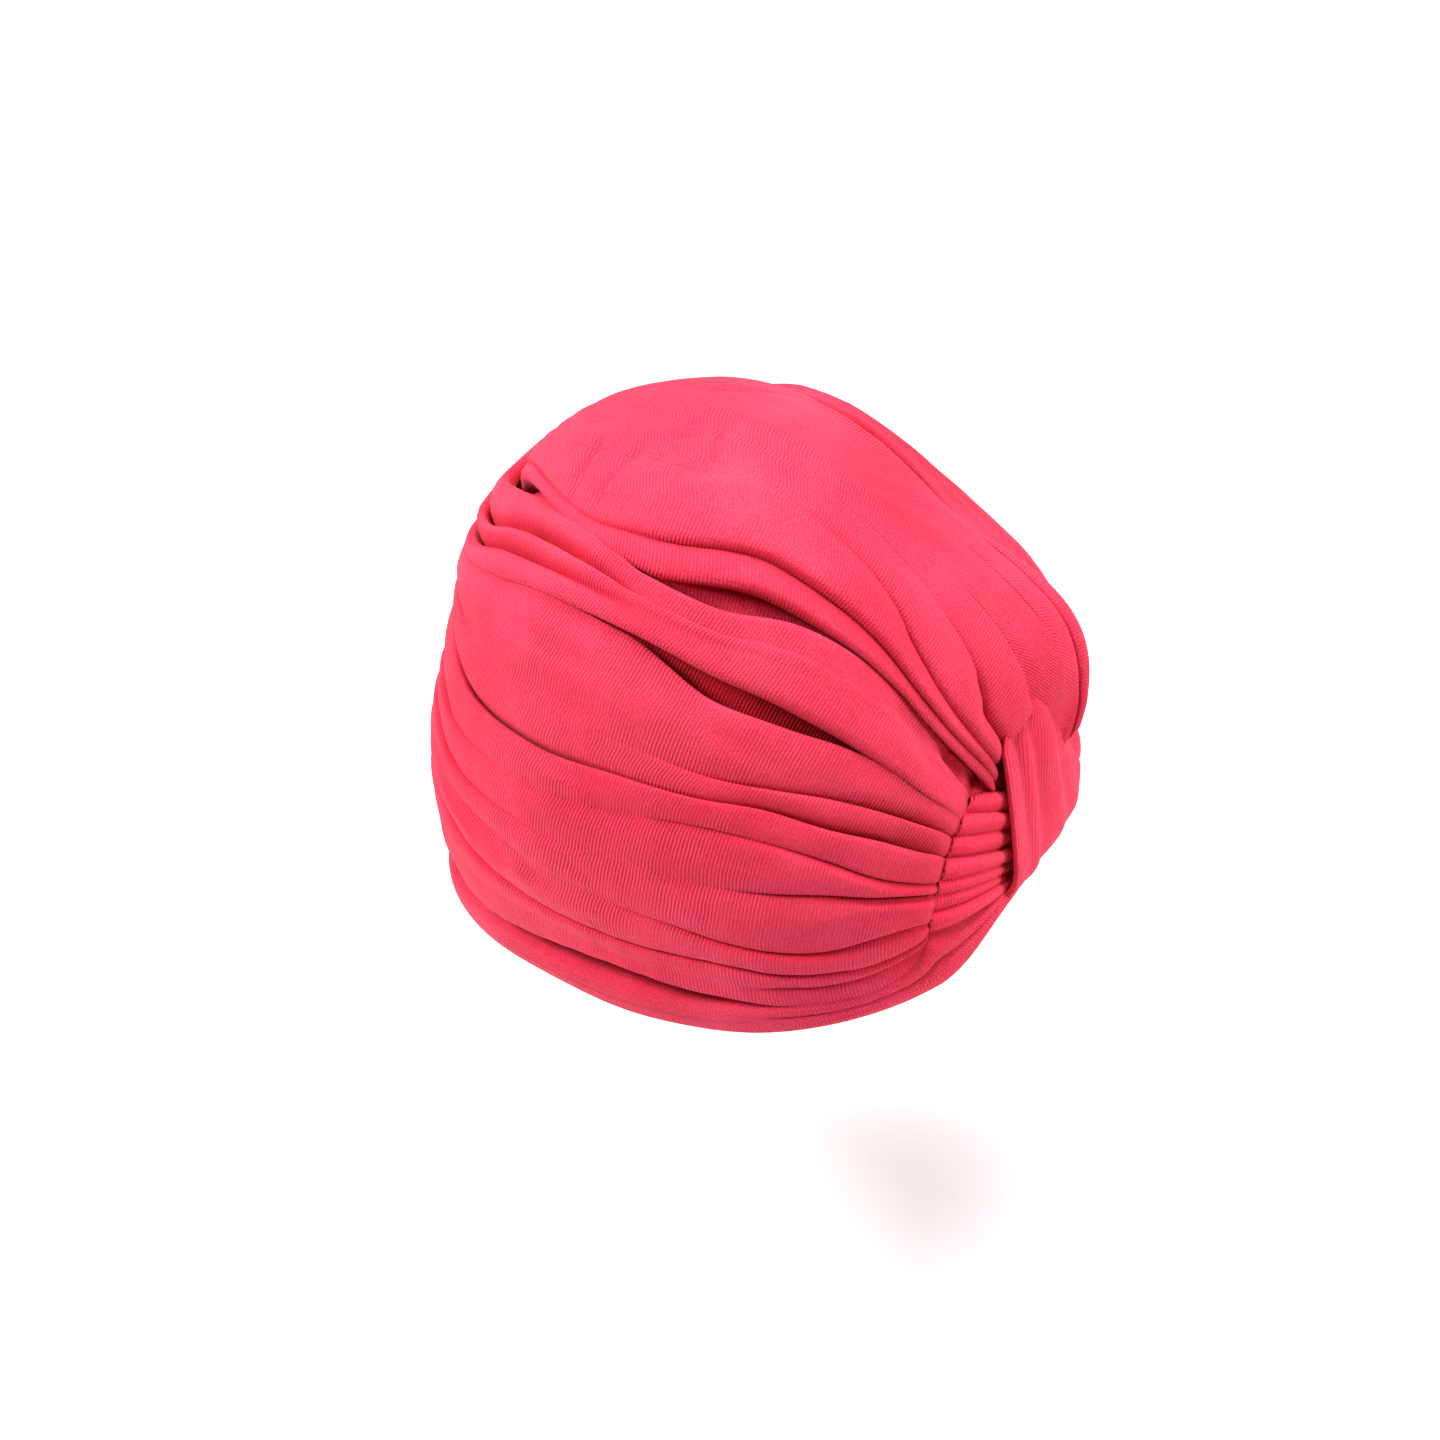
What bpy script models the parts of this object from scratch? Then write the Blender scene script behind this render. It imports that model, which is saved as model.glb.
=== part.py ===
"""Pre-tied head wrap of stretch jersey, kept in the form that it has when worn.

Metres, +Z up.  The gathered front and its loop look along -Y, the wearer's right side is -X.
The origin is the inside top of the cap, where the top of the head carries it.
"""
from collections import namedtuple
import math

import bpy
import numpy as np

# Envelope over the tops of the folds, measured from the middle of the rim
FRONT = 0.102
BACK = 0.119
SIDE = 0.100
CROWN = 0.181
PLAN_POWER = 2.5
DOME_POWER = 2.2

# The cloth stands fuller over the loop, a little to the wearer's left
PUFF_RISE = 0.016
PUFF_AROUND = -16.0
PUFF_ABOVE = 33.0
PUFF_SPREAD = 19.0

# The rim draws in below the widest level and falls towards the nape
RIM_DRAW_IN = 0.035
WIDEST_LEVEL = math.radians(24)
RIM_TILT = math.radians(17)

# Cloth
JERSEY = 0.0016
LOOP_CLOTH = 0.0020
MM = 0.001

# Depth of the close inner cap under the envelope, and its rings above the hem as shares of
# the way from the wrap's lower edge to the top
CAP_DEPTH = 0.0155
CAP_LEVELS = (0.03, 0.18, 0.38, 0.58, 0.76, 0.90)
# Rings of the cap's hem: share of the way from the rim to the wrap's lower edge, and depth
HEM_RINGS = ((0.0, 0.0013), (0.35, 0.0003), (0.72, 0.0011), (0.98, 0.0055))
# Angles round from the forehead between which the hem comes out from under the loop
HEM_HIDDEN = 15.0
HEM_SHOWN = 30.0

# The rim lifts over the nape, between these angles round from the forehead
NAPE_LIFT = 10.0
NAPE_FROM = 88.0
NAPE_FULL = 150.0

# Loop over the middle of the forehead
LOOP_FOOT_HALF = 0.027
LOOP_HEAD_HALF = 0.018
LOOP_MIDDLE = 0.003
LOOP_FOOT = 3.5
LOOP_HEAD = 28.5
LOOP_FOOT_PROUD = 0.004
LOOP_HEAD_PROUD = 0.001
LOOP_BEHIND = 0.0080
LOOP_CROWNING = 0.0022
LOOP_TURN_IN = 0.0030
LOOP_ROUNDING = 5

# Mesh steps, and the rows of a fold as shares of the way from one crease to the next
WRAP_COLUMNS = 48
FOLD_ROWS = (0.3, 0.8)
GATHER_ROWS = (0.5,)
DRAPE_COLUMNS = 22
GATHER_COLUMNS = 14
CAP_COLUMNS = 40
LOOP_STEPS = 9

# Angles back from the forehead where the front half of every pleat is charted, after the
# gather seam itself, and angles round from the forehead for its back half
FRONT_STATIONS = (50, 65, 82)
BACK_STATIONS = (110, 145, 180)
# Share of the way from the gather seam to the middle of the back at these stations
WRAP_STEPS = (0.0, 0.115, 0.235, 0.37, 0.545, 0.77, 1.0)

# One row for each crease of the side wrap, from its rolled top edge down to its lower edge.
# lie: degrees about the front-to-back axis at the seam and the front stations, then degrees
#      above the rim at the back stations
# sink: millimetres of the crease under the envelope at the same seven stations
# crest: millimetres of the fold below it over the envelope at the same seven stations, or
#        None where the bare floor of a slit lies below it
Pleat = namedtuple("Pleat", "name lie sink crest")
PLEATS = (
    Pleat("rolled top edge", (62, 67.5, 70, 70.5, 74.5, 74, 69),
          (6.5, 8.5, 9, 8.5, 6.5, 6, 6), (-1.5, 3, 2, 0.5, 0, -0.5, 0.5)),
    Pleat("back fold", (58, 62, 65.5, 67.7, 71.8, 70.5, 65.3),
          (2, -2.5, -1.5, 0.3, 5, 7, 7), (-1.5, 2, 2, 1.5, 0.5, 0, 1)),
    Pleat("deep pleat", (54, 57.5, 61.3, 65, 69.3, 67.3, 61),
          (5, 9, 10.5, 10.5, 8, 7, 6), None),
    Pleat("deep pleat floor", (53.6, 56.7, 58.8, 63.2, 68.5, 66.5, 60),
          (5, 9, 10.5, 10.5, 8, 7, 6), (-1.5, 0, 0, 0.5, 0.5, 0.5, 1)),
    Pleat("upper short pleat", (45, 49, 49.5, 53.5, 60, 61.5, 55.5),
          (5, 7.5, 5.5, 1, 0, 4, 5), (-2, -1.5, -1, -0.5, 0, -1, -1)),
    Pleat("long pleat", (39, 42, 45.5, 50.5, 55.5, 56.5, 50.5),
          (5, 8, 8, 6, 3, 2.5, 4), (-2, -1, 0, 0.5, 0.5, -1, -1)),
    Pleat("ear pleat", (34, 37.5, 41, 46, 50, 50, 44),
          (4.5, 4.5, 0.5, 1.5, 5.5, 6, 4), (-2, 0, 1.5, 1, 1, 0, 0)),
    Pleat("cheek pleat", (30, 32, 32, 36, 41, 43, 39),
          (4.5, 5, 1.5, -0.5, 0, 1, 1), (-2, -0.5, 1, 1.5, 1.5, 1, 0.5)),
    Pleat("nape pleat", (26, 26.5, 26.5, 28, 29.5, 34, 33),
          (3.5, 2.5, -0.5, -1, 1, 4, 4), (-2, 0, 1, 1, 1, 0.5, 0)),
    Pleat("low pleat", (22, 21, 20, 20, 24.5, 27.5, 27.5),
          (4.5, 4.5, 2, 0.5, 0, 1, 1.5), (-2, -0.5, 0.5, 0.5, 0, 0, 0)),
    Pleat("lowest pleat", (17, 14.5, 12.5, 14.5, 21, 22.5, 22.5),
          (4, 3, 2, 1.5, 1.5, 1, 1), (-2, -0.5, 0, 0, -0.5, -0.5, -0.5)),
    Pleat("lower edge", (9, 6, 5.5, 9, 17, 17.5, 17.5),
          (3, 1, 0.5, 0.5, 1, 1, 1), None),
)

# One row for each crease of the crown drape, from its hidden skirt up to the middle, at
# these angles back from the forehead; lie, sink and crest as above
DRAPE_STATIONS = (33, 35.2, 39, 46, 57, 70, 84, 96, 104, 110, 114)
DRAPE = (
    Pleat("skirt", (59, 59.5, 60.5, 63, 65.5, 66.5, 68, 71, 73, 74, 74),
          (13.2, 13.2, 13.2, 13.2, 13.2, 13.2, 13.2, 13.2, 13.2, 13.2, 13.2),
          (-13, -13, -13, -13, -13, -13, -13, -12.5, -12.8, -13, -13)),
    Pleat("slit", (65, 65.5, 66.5, 69, 72.5, 73, 73, 76.5, 80, 82, 82),
          (10, 12, 12.9, 12.9, 12.9, 12.9, 11.5, 11, 12.5, 13, 13),
          (-6, -2, 0, 1.5, 2, 1, -2.5, -4.5, -10.5, -12.3, -12.8)),
    Pleat("crown groove", (71, 72, 73, 74, 76.2, 78, 76.5, 79.5, 83, 85, 85),
          (8, 5, 5.5, 6, 6.5, 6.5, 3.5, 4.5, 9.5, 12, 12.5),
          (-6, 0, 1, 1.5, 1.5, 0.5, -1, -2.5, -7.5, -11.5, -12.5)),
    Pleat("knot crease", (75, 75.5, 76.2, 78.3, 81.8, 83.5, 83.5, 84.3, 86.3, 87.5, 87.5),
          (8, 4, 4, 3.5, 2, 0, 0.5, 2, 6, 10.5, 12.5),
          (-5, 1, 2, 2, 1.5, 0.5, 0, -1.5, -5.5, -10.2, -12.5)),
    Pleat("loop crease", (81, 83.5, 86, 87, 87.3, 87.3, 87, 87.5, 88.5, 89, 89),
          (8, 1, -0.5, -1.5, -1.5, -0.5, 0, 1.5, 5, 10, 12.5),
          (-4, 2.5, 3, 2.5, 2, 1, 0.3, -1, -4.5, -10, -12.5)),
)
# On the left of the crown the creases have this share of the depth they have on the right,
# apart from the first two rows
LEFT_CREASES = 0.55
DEEP_ON_BOTH_SIDES = 2

# One row for each crease of the gathered strip, from its top edge down: where it leaves the
# seam, about the front-to-back axis, and its height over the rim beside and under the loop
Gather = namedtuple("Gather", "name seam beside under sink crest")
GATHERS = (
    Gather("top edge", 61, 24.5, 22.5, 5.5, -2.0),
    Gather("first crease", 54, 21, 19.5, 5.5, -2.0),
    Gather("second crease", 45, 18, 17, 5.5, -2.0),
    Gather("third crease", 39, 15.2, 14.5, 5.5, -2.0),
    Gather("fourth crease", 34, 12.8, 12.5, 5.5, -2.0),
    Gather("fifth crease", 28, 10.6, 10.8, 5.5, -1.5),
    Gather("sixth crease", 20, 8.6, 9.0, 4.5, -1.0),
    Gather("bottom edge", 10.5, 6.2, 7.2, 2.5, None),
)
BESIDE_LOOP = 19.0

# The gather seam slants: it lies this far back from the forehead at its top, and further
# back for each degree below that; the strip stops a little short of the wrap
SEAM_TOP_LIE = 61.0
SEAM_TOP_BEHIND = 31.5
SEAM_SLANT = 0.14
SEAM_GAP = 0.45

# Cloth colour where light falls, and deeper on the inner cap
CORAL = (0.80, 0.045, 0.085, 1.0)
DEEP_CORAL = (0.66, 0.030, 0.062, 1.0)


def clear_scene():
    for item in list(bpy.data.objects):
        bpy.data.objects.remove(item, do_unlink=True)


def from_polar(around, above):
    """Direction at an angle round from the forehead towards the right, and above the rim."""
    around, above = np.radians(around), np.radians(above)
    flat = np.cos(above)
    return np.stack([-np.sin(around) * flat, -np.cos(around) * flat, np.sin(above)], -1)


def from_axis(about, behind):
    """Direction at an angle about the front-to-back axis, and back from the forehead."""
    about, behind = np.radians(about), np.radians(behind)
    wide = np.sin(behind)
    return np.stack([-wide * np.cos(about), -np.cos(behind) + 0 * about, wide * np.sin(about)], -1)


def envelope(direction, out):
    """Point out from the envelope in a direction from the middle of the rim."""
    ahead = np.where(direction[..., 1] < 0, FRONT, BACK)
    plan = np.abs(direction[..., 0] / SIDE) ** PLAN_POWER
    plan = (plan + np.abs(direction[..., 1] / ahead) ** PLAN_POWER) ** (1 / PLAN_POWER)
    up = np.abs(direction[..., 2] / CROWN)
    reach = (plan ** DOME_POWER + up ** DOME_POWER) ** (-1 / DOME_POWER)
    level = np.arcsin(np.clip(direction[..., 2], -1, 1))
    reach = reach * (1 - RIM_DRAW_IN * np.clip(1 - level / WIDEST_LEVEL, 0, None) ** 2)
    puff = from_polar(PUFF_AROUND, PUFF_ABOVE)
    away = np.degrees(np.arccos(np.clip(direction @ puff, -1, 1)))
    reach = reach + PUFF_RISE * np.exp(-(away / PUFF_SPREAD) ** 2)
    return direction * (reach + out)[..., None]


def curve_through(stations, values, places):
    """Smooth curve through values at uneven stations, read at the given places."""
    stations = np.asarray(stations, float)
    values = np.asarray(values, float)
    steps = np.diff(stations)
    shape = (-1,) + (1,) * (values.ndim - 1)
    slopes = np.diff(values, axis=0) / steps.reshape(shape)
    before, after = steps[:-1].reshape(shape), steps[1:].reshape(shape)
    inner = (slopes[:-1] * after + slopes[1:] * before) / (before + after)
    tangents = np.concatenate([slopes[:1], inner, slopes[-1:]])
    index = np.clip(np.searchsorted(stations, places, side="right") - 1, 0, len(steps) - 1)
    width = steps[index].reshape(shape)
    t = ((places - stations[index]) / steps[index]).reshape(shape)
    start, end = values[index], values[index + 1]
    lean_in, lean_out = tangents[index] * width, tangents[index + 1] * width
    return ((2 * t**3 - 3 * t**2 + 1) * start + (t**3 - 2 * t**2 + t) * lean_in
            + (3 * t**2 - 2 * t**3) * end + (t**3 - t**2) * lean_out)


def smooth_step(t):
    t = np.clip(t, 0, 1)
    return t * t * (3 - 2 * t)


def fold_rise(t):
    """Height of a fold from the crease above it (0) to the crease below it (1), fuller below."""
    return (1 - np.abs(2 * t**1.35 - 1) ** 2.2) ** 0.6


def seam_behind(lie):
    """How far back from the forehead the gather seam lies at an angle about the axis."""
    return SEAM_TOP_BEHIND + SEAM_SLANT * (SEAM_TOP_LIE - lie)


def mirrored(values):
    """The right half's stations followed by the left half's, in one run."""
    return np.concatenate([values, values[-2::-1]])


def flipped(points):
    return points * np.array([-1.0, 1.0, 1.0])


def wrap_line(pleat):
    """Directions of one crease at all stations, from the right seam round to the left."""
    behind = (seam_behind(pleat.lie[0]),) + FRONT_STATIONS
    front = [from_axis(lie, s) for lie, s in zip(pleat.lie[:4], behind)]
    back = [from_polar(a, lie) for lie, a in zip(pleat.lie[4:], BACK_STATIONS)]
    half = np.array(front + back)
    return np.concatenate([half, flipped(half)[-2::-1]])


def fold_grid(lines, sinks, crests, rows):
    """Directions and heights over the envelope of creases with their folds between."""
    directions, heights = [], []
    for k in range(len(lines) - 1):
        for t in (0.0,) + (tuple(rows) if crests[k] is not None else ()):
            directions.append((1 - t) * lines[k] + t * lines[k + 1])
            floor = -(1 - t) * sinks[k] - t * sinks[k + 1]
            heights.append(floor + (crests[k] - floor) * fold_rise(t) if t else floor)
    directions.append(lines[-1])
    heights.append(-sinks[-1])
    directions = np.array(directions)
    directions /= np.linalg.norm(directions, axis=-1, keepdims=True)
    return directions, np.array(heights) * MM


def side_wrap_surface():
    half = np.array(WRAP_STEPS)
    stations = np.concatenate([half, 2 - half[-2::-1]])
    places = np.linspace(0, 2, WRAP_COLUMNS + 1)
    lines = [curve_through(stations, wrap_line(p), places) for p in PLEATS]
    sinks = [curve_through(stations, mirrored(np.array(p.sink)), places) for p in PLEATS]
    crests = [curve_through(stations, mirrored(np.array(p.crest)), places) if p.crest else None
              for p in PLEATS]
    directions, heights = fold_grid(lines, sinks, crests, FOLD_ROWS)
    return envelope(directions, heights)


def crown_drape_surface():
    """Creases run back from the loop; the left half mirrors the right about the middle."""
    places = np.linspace(DRAPE_STATIONS[0], DRAPE_STATIONS[-1], DRAPE_COLUMNS + 1)
    lies = [curve_through(DRAPE_STATIONS, p.lie, places) for p in DRAPE]
    sinks = [curve_through(DRAPE_STATIONS, p.sink, places) for p in DRAPE]
    crests = [curve_through(DRAPE_STATIONS, p.crest, places) for p in DRAPE]
    shallow = [sink if k < DEEP_ON_BOTH_SIDES else (sink + crest) * LEFT_CREASES - crest
               for k, (sink, crest) in enumerate(zip(sinks, crests))]
    lies += [180 - lie for lie in reversed(lies)]
    sinks += list(reversed(shallow))
    crests += list(reversed(crests[:-1]))
    lines = [from_axis(lie, places) for lie in lies]
    directions, heights = fold_grid(lines, sinks, crests, FOLD_ROWS)
    return envelope(directions, heights)


def front_gather_surface():
    """Pleated strip across the forehead, from one gather seam to the other."""
    stations = np.array([0.0, 0.5, 1.0, 1.5, 2.0])
    places = np.linspace(0, 2, GATHER_COLUMNS + 1)
    lines, sinks, crests = [], [], []
    for g in GATHERS:
        at_seam = from_axis(g.seam, seam_behind(g.seam) - SEAM_GAP)
        half = np.array([at_seam, from_polar(BESIDE_LOOP, g.beside), from_polar(0.0, g.under)])
        whole = np.concatenate([half, flipped(half)[-2::-1]])
        lines.append(curve_through(stations, whole, places))
        sinks.append(np.full(len(places), g.sink))
        crests.append(np.full(len(places), g.crest) if g.crest is not None else None)
    directions, heights = fold_grid(lines, sinks, crests, GATHER_ROWS)
    return envelope(directions, heights)


def hem_line(around):
    """Height over the rim where the wrap's lower edge crosses, in degrees."""
    edge = wrap_line(PLEATS[-1])[: len(WRAP_STEPS)]
    edge = edge / np.linalg.norm(edge, axis=-1, keepdims=True)
    angles = np.degrees(np.arctan2(-edge[:, 0], -edge[:, 1]))
    levels = np.degrees(np.arcsin(edge[:, 2]))
    return np.interp(np.abs(around), angles, levels)


def inner_cap_rings():
    """Rings of the close cap from its hem to its top, and the top point."""
    around = np.linspace(-180, 180, CAP_COLUMNS, endpoint=False)
    edge = hem_line(around)
    rim = NAPE_LIFT * smooth_step((np.abs(around) - NAPE_FROM) / (NAPE_FULL - NAPE_FROM))
    # The hem shows at the sides and the back and sinks flat under the loop
    shows = smooth_step((np.abs(around) - HEM_HIDDEN) / (HEM_SHOWN - HEM_HIDDEN))
    rings = []
    for share, depth in HEM_RINGS:
        sunk = CAP_DEPTH + (depth - CAP_DEPTH) * shows
        rings.append(envelope(from_polar(around, rim + (edge - rim) * share), -sunk))
    for level in CAP_LEVELS:
        above = edge + (90 - edge) * level
        rings.append(envelope(from_polar(around, above), np.full(len(around), -CAP_DEPTH)))
    top = envelope(from_polar(np.array(0.0), np.array(90.0)), np.array(-CAP_DEPTH))
    return np.array(rings), top


def seat_point():
    """Inside top of the cap, straight above the middle of the rim when worn."""
    direction = np.array([0.0, -math.sin(RIM_TILT), math.cos(RIM_TILT)])
    return envelope(direction, np.array(-CAP_DEPTH - JERSEY))


def worn(points):
    """Turn points from the rim's own frame to the worn pose, with the seat at the origin."""
    points = np.asarray(points) - seat_point()
    c, s = math.cos(RIM_TILT), math.sin(RIM_TILT)
    x, y, z = points[..., 0], points[..., 1], points[..., 2]
    return np.stack([x, y * c + z * s, z * c - y * s], -1)


def jersey(name, colour):
    material = bpy.data.materials.new(name)
    material.use_nodes = True
    shader = material.node_tree.nodes["Principled BSDF"]
    shader.inputs["Base Color"].default_value = colour
    shader.inputs["Roughness"].default_value = 0.85
    shader.inputs["Metallic"].default_value = 0.0
    return material


def cloth_object(name, points, faces, material, collection, thickness=JERSEY):
    mesh = bpy.data.meshes.new(name)
    mesh.from_pydata([tuple(p) for p in points], [], faces)
    mesh.materials.append(material)
    mesh.shade_smooth()
    piece = bpy.data.objects.new(name, mesh)
    collection.objects.link(piece)
    wall = piece.modifiers.new("wall", "SOLIDIFY")
    wall.thickness = thickness
    wall.offset = -1
    wall.use_quality_normals = True
    return piece


def grid_faces(rows, columns, closed=False):
    """Quads of a grid whose rows run from high to low as columns go from right to left."""
    faces = []
    span = columns if closed else columns - 1
    for r in range(rows - 1):
        for c in range(span):
            d = (c + 1) % columns
            faces.append((r * columns + c, r * columns + d, (r + 1) * columns + d, (r + 1) * columns + c))
    return faces


def loft(name, surface, material, collection):
    rows, columns = surface.shape[:2]
    points = worn(surface).reshape(-1, 3)
    return cloth_object(name, points, grid_faces(rows, columns), material, collection)


def make_inner_cap(material, collection):
    rings, top = inner_cap_rings()
    rows, columns = rings.shape[:2]
    points = np.concatenate([worn(rings).reshape(-1, 3), worn(top)[None]])
    faces = grid_faces(rows, columns, closed=True)
    last = (rows - 1) * columns
    faces += [(last + c, last + (c + 1) % columns, rows * columns) for c in range(columns)]
    return cloth_object("inner_cap", points, faces, material, collection)


def make_front_loop(material, collection):
    """Closed band round the gathered strip, a little proud and crowned across its width."""
    levels = np.linspace(LOOP_FOOT, LOOP_HEAD, LOOP_STEPS)
    share = np.linspace(0, 1, LOOP_STEPS)
    rounding = 1 - np.abs(2 * share - 1) ** LOOP_ROUNDING
    half_width = LOOP_FOOT_HALF + (LOOP_HEAD_HALF - LOOP_FOOT_HALF) * share
    proud = LOOP_FOOT_PROUD + (LOOP_HEAD_PROUD - LOOP_FOOT_PROUD) * share
    rings = []
    for across in np.linspace(-1, 1, LOOP_STEPS):
        crown = LOOP_CROWNING * (1 - across**2)
        outer = (proud + crown) * rounding - LOOP_TURN_IN * (1 - rounding)
        inner = np.full(LOOP_STEPS, -LOOP_BEHIND)
        x = LOOP_MIDDLE + across * half_width
        around = np.degrees(np.arcsin(-x / (FRONT * np.cos(np.radians(levels)))))
        front_run = envelope(from_polar(around, levels), outer)
        back_run = envelope(from_polar(around, levels), inner)
        rings.append(np.concatenate([front_run, back_run[::-1]]))
    rings = np.array(rings)
    columns, steps = rings.shape[:2]
    faces = grid_faces(columns, steps, closed=True)
    return cloth_object("front_loop", worn(rings).reshape(-1, 3), faces, material, collection,
                        LOOP_CLOTH)


def main():
    clear_scene()
    turban = bpy.data.collections.new("chemo_turban")
    bpy.context.scene.collection.children.link(turban)
    make_inner_cap(jersey("inner_jersey", DEEP_CORAL), turban)
    loft("crown_drape", crown_drape_surface(), jersey("crown_jersey", CORAL), turban)
    loft("side_wrap", side_wrap_surface(), jersey("wrap_jersey", CORAL), turban)
    loft("front_gather", front_gather_surface(), jersey("gather_jersey", CORAL), turban)
    make_front_loop(jersey("loop_jersey", CORAL), turban)


main()
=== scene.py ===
"""Looks of a pre-tied head wrap of stretch jersey, worn, with its front gathered through a loop.

Metres, +Z up.  The gathered front and its loop look along -Y, the wearer's right side is -X.
"""

from collections import namedtuple
import math

import bpy
import numpy as np
from mathutils import Matrix, Vector


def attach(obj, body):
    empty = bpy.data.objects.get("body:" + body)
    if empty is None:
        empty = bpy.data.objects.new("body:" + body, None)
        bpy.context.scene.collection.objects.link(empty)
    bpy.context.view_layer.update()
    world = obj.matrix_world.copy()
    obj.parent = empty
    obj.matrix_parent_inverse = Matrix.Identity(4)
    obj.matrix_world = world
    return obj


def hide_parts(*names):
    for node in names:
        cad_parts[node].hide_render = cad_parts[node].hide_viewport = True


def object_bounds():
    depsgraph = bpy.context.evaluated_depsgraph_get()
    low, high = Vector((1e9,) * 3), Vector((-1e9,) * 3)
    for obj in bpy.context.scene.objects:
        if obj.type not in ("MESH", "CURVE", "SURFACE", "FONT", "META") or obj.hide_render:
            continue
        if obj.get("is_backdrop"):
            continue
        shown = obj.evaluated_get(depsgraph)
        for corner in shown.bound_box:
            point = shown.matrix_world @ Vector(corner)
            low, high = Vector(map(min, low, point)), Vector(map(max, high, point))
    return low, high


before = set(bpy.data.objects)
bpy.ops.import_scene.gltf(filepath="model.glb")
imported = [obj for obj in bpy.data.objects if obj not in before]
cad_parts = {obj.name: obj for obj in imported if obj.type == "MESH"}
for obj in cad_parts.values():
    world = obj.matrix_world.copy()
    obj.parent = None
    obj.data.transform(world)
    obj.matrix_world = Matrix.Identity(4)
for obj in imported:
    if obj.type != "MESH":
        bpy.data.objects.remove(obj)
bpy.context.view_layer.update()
bpy.ops.object.select_all(action="DESELECT")

MM = 0.001
MERGE = 0.00002
RNG = np.random.default_rng(7)

# Envelope over the tops of the folds, measured from the middle of the rim
FRONT = 0.102
BACK = 0.119
SIDE = 0.100
CROWN = 0.181
PLAN_POWER = 2.5
DOME_POWER = 2.2

# Where the cloth stands fuller or closer: degrees round and above the rim, spread, millimetres of rise
Swell = namedtuple("Swell", "place around above spread rise")
SWELLS = (
    Swell("over the loop", -16, 33, 19, 16),
    Swell("full front of the crown", -16, 28, 13, 5),
    Swell("drawn-in forehead", -8, 2, 20, -5),
    Swell("nape edge", 122, 0, 17, -4.5),
    Swell("back of the wrap", 156, 48, 13, -4.5),
    Swell("far side of the crown", -43, 51, 13, -3),
)

# On the left the wrap's end is drawn in under the full front of the crown
FAR_DENT_AT = (-22.0, 20.0)
FAR_DENT_SPREAD = 13.0
FAR_DENT = 15.5

# The rim draws in below the widest level and falls towards the nape
RIM_DRAW_IN = 0.035
WIDEST_LEVEL = math.radians(24)
RIM_TILT = math.radians(17)

# Cloth
JERSEY = 0.0012
CAP_JERSEY = 0.0016
CAP_DEPTH = 0.0155
LOOP_JERSEY = 0.0018
RIB_PITCH = 0.00125
STITCH_PITCH = RIB_PITCH * 0.62

# The gather seam: how far back from the forehead it lies at its top, and its slant
SEAM_TOP_LIE = 61.0
SEAM_FOOT_LIE = 17.0
SEAM_TOP_BEHIND = 31.5
SEAM_SLANT = 0.14

# Every pleat is charted at these degrees back from the forehead, then at these degrees round from it
FRONT_STATIONS = (40, 48, 57, 66, 75, 84, 94)
BACK_STATIONS = (112, 130, 150, 180)
# Share of the way from the gather seam to the middle of the back at these stations
WRAP_STEPS = (0.0, 0.038, 0.10, 0.171, 0.243, 0.314, 0.386, 0.45, 0.558, 0.674, 0.803, 1.0)

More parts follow.
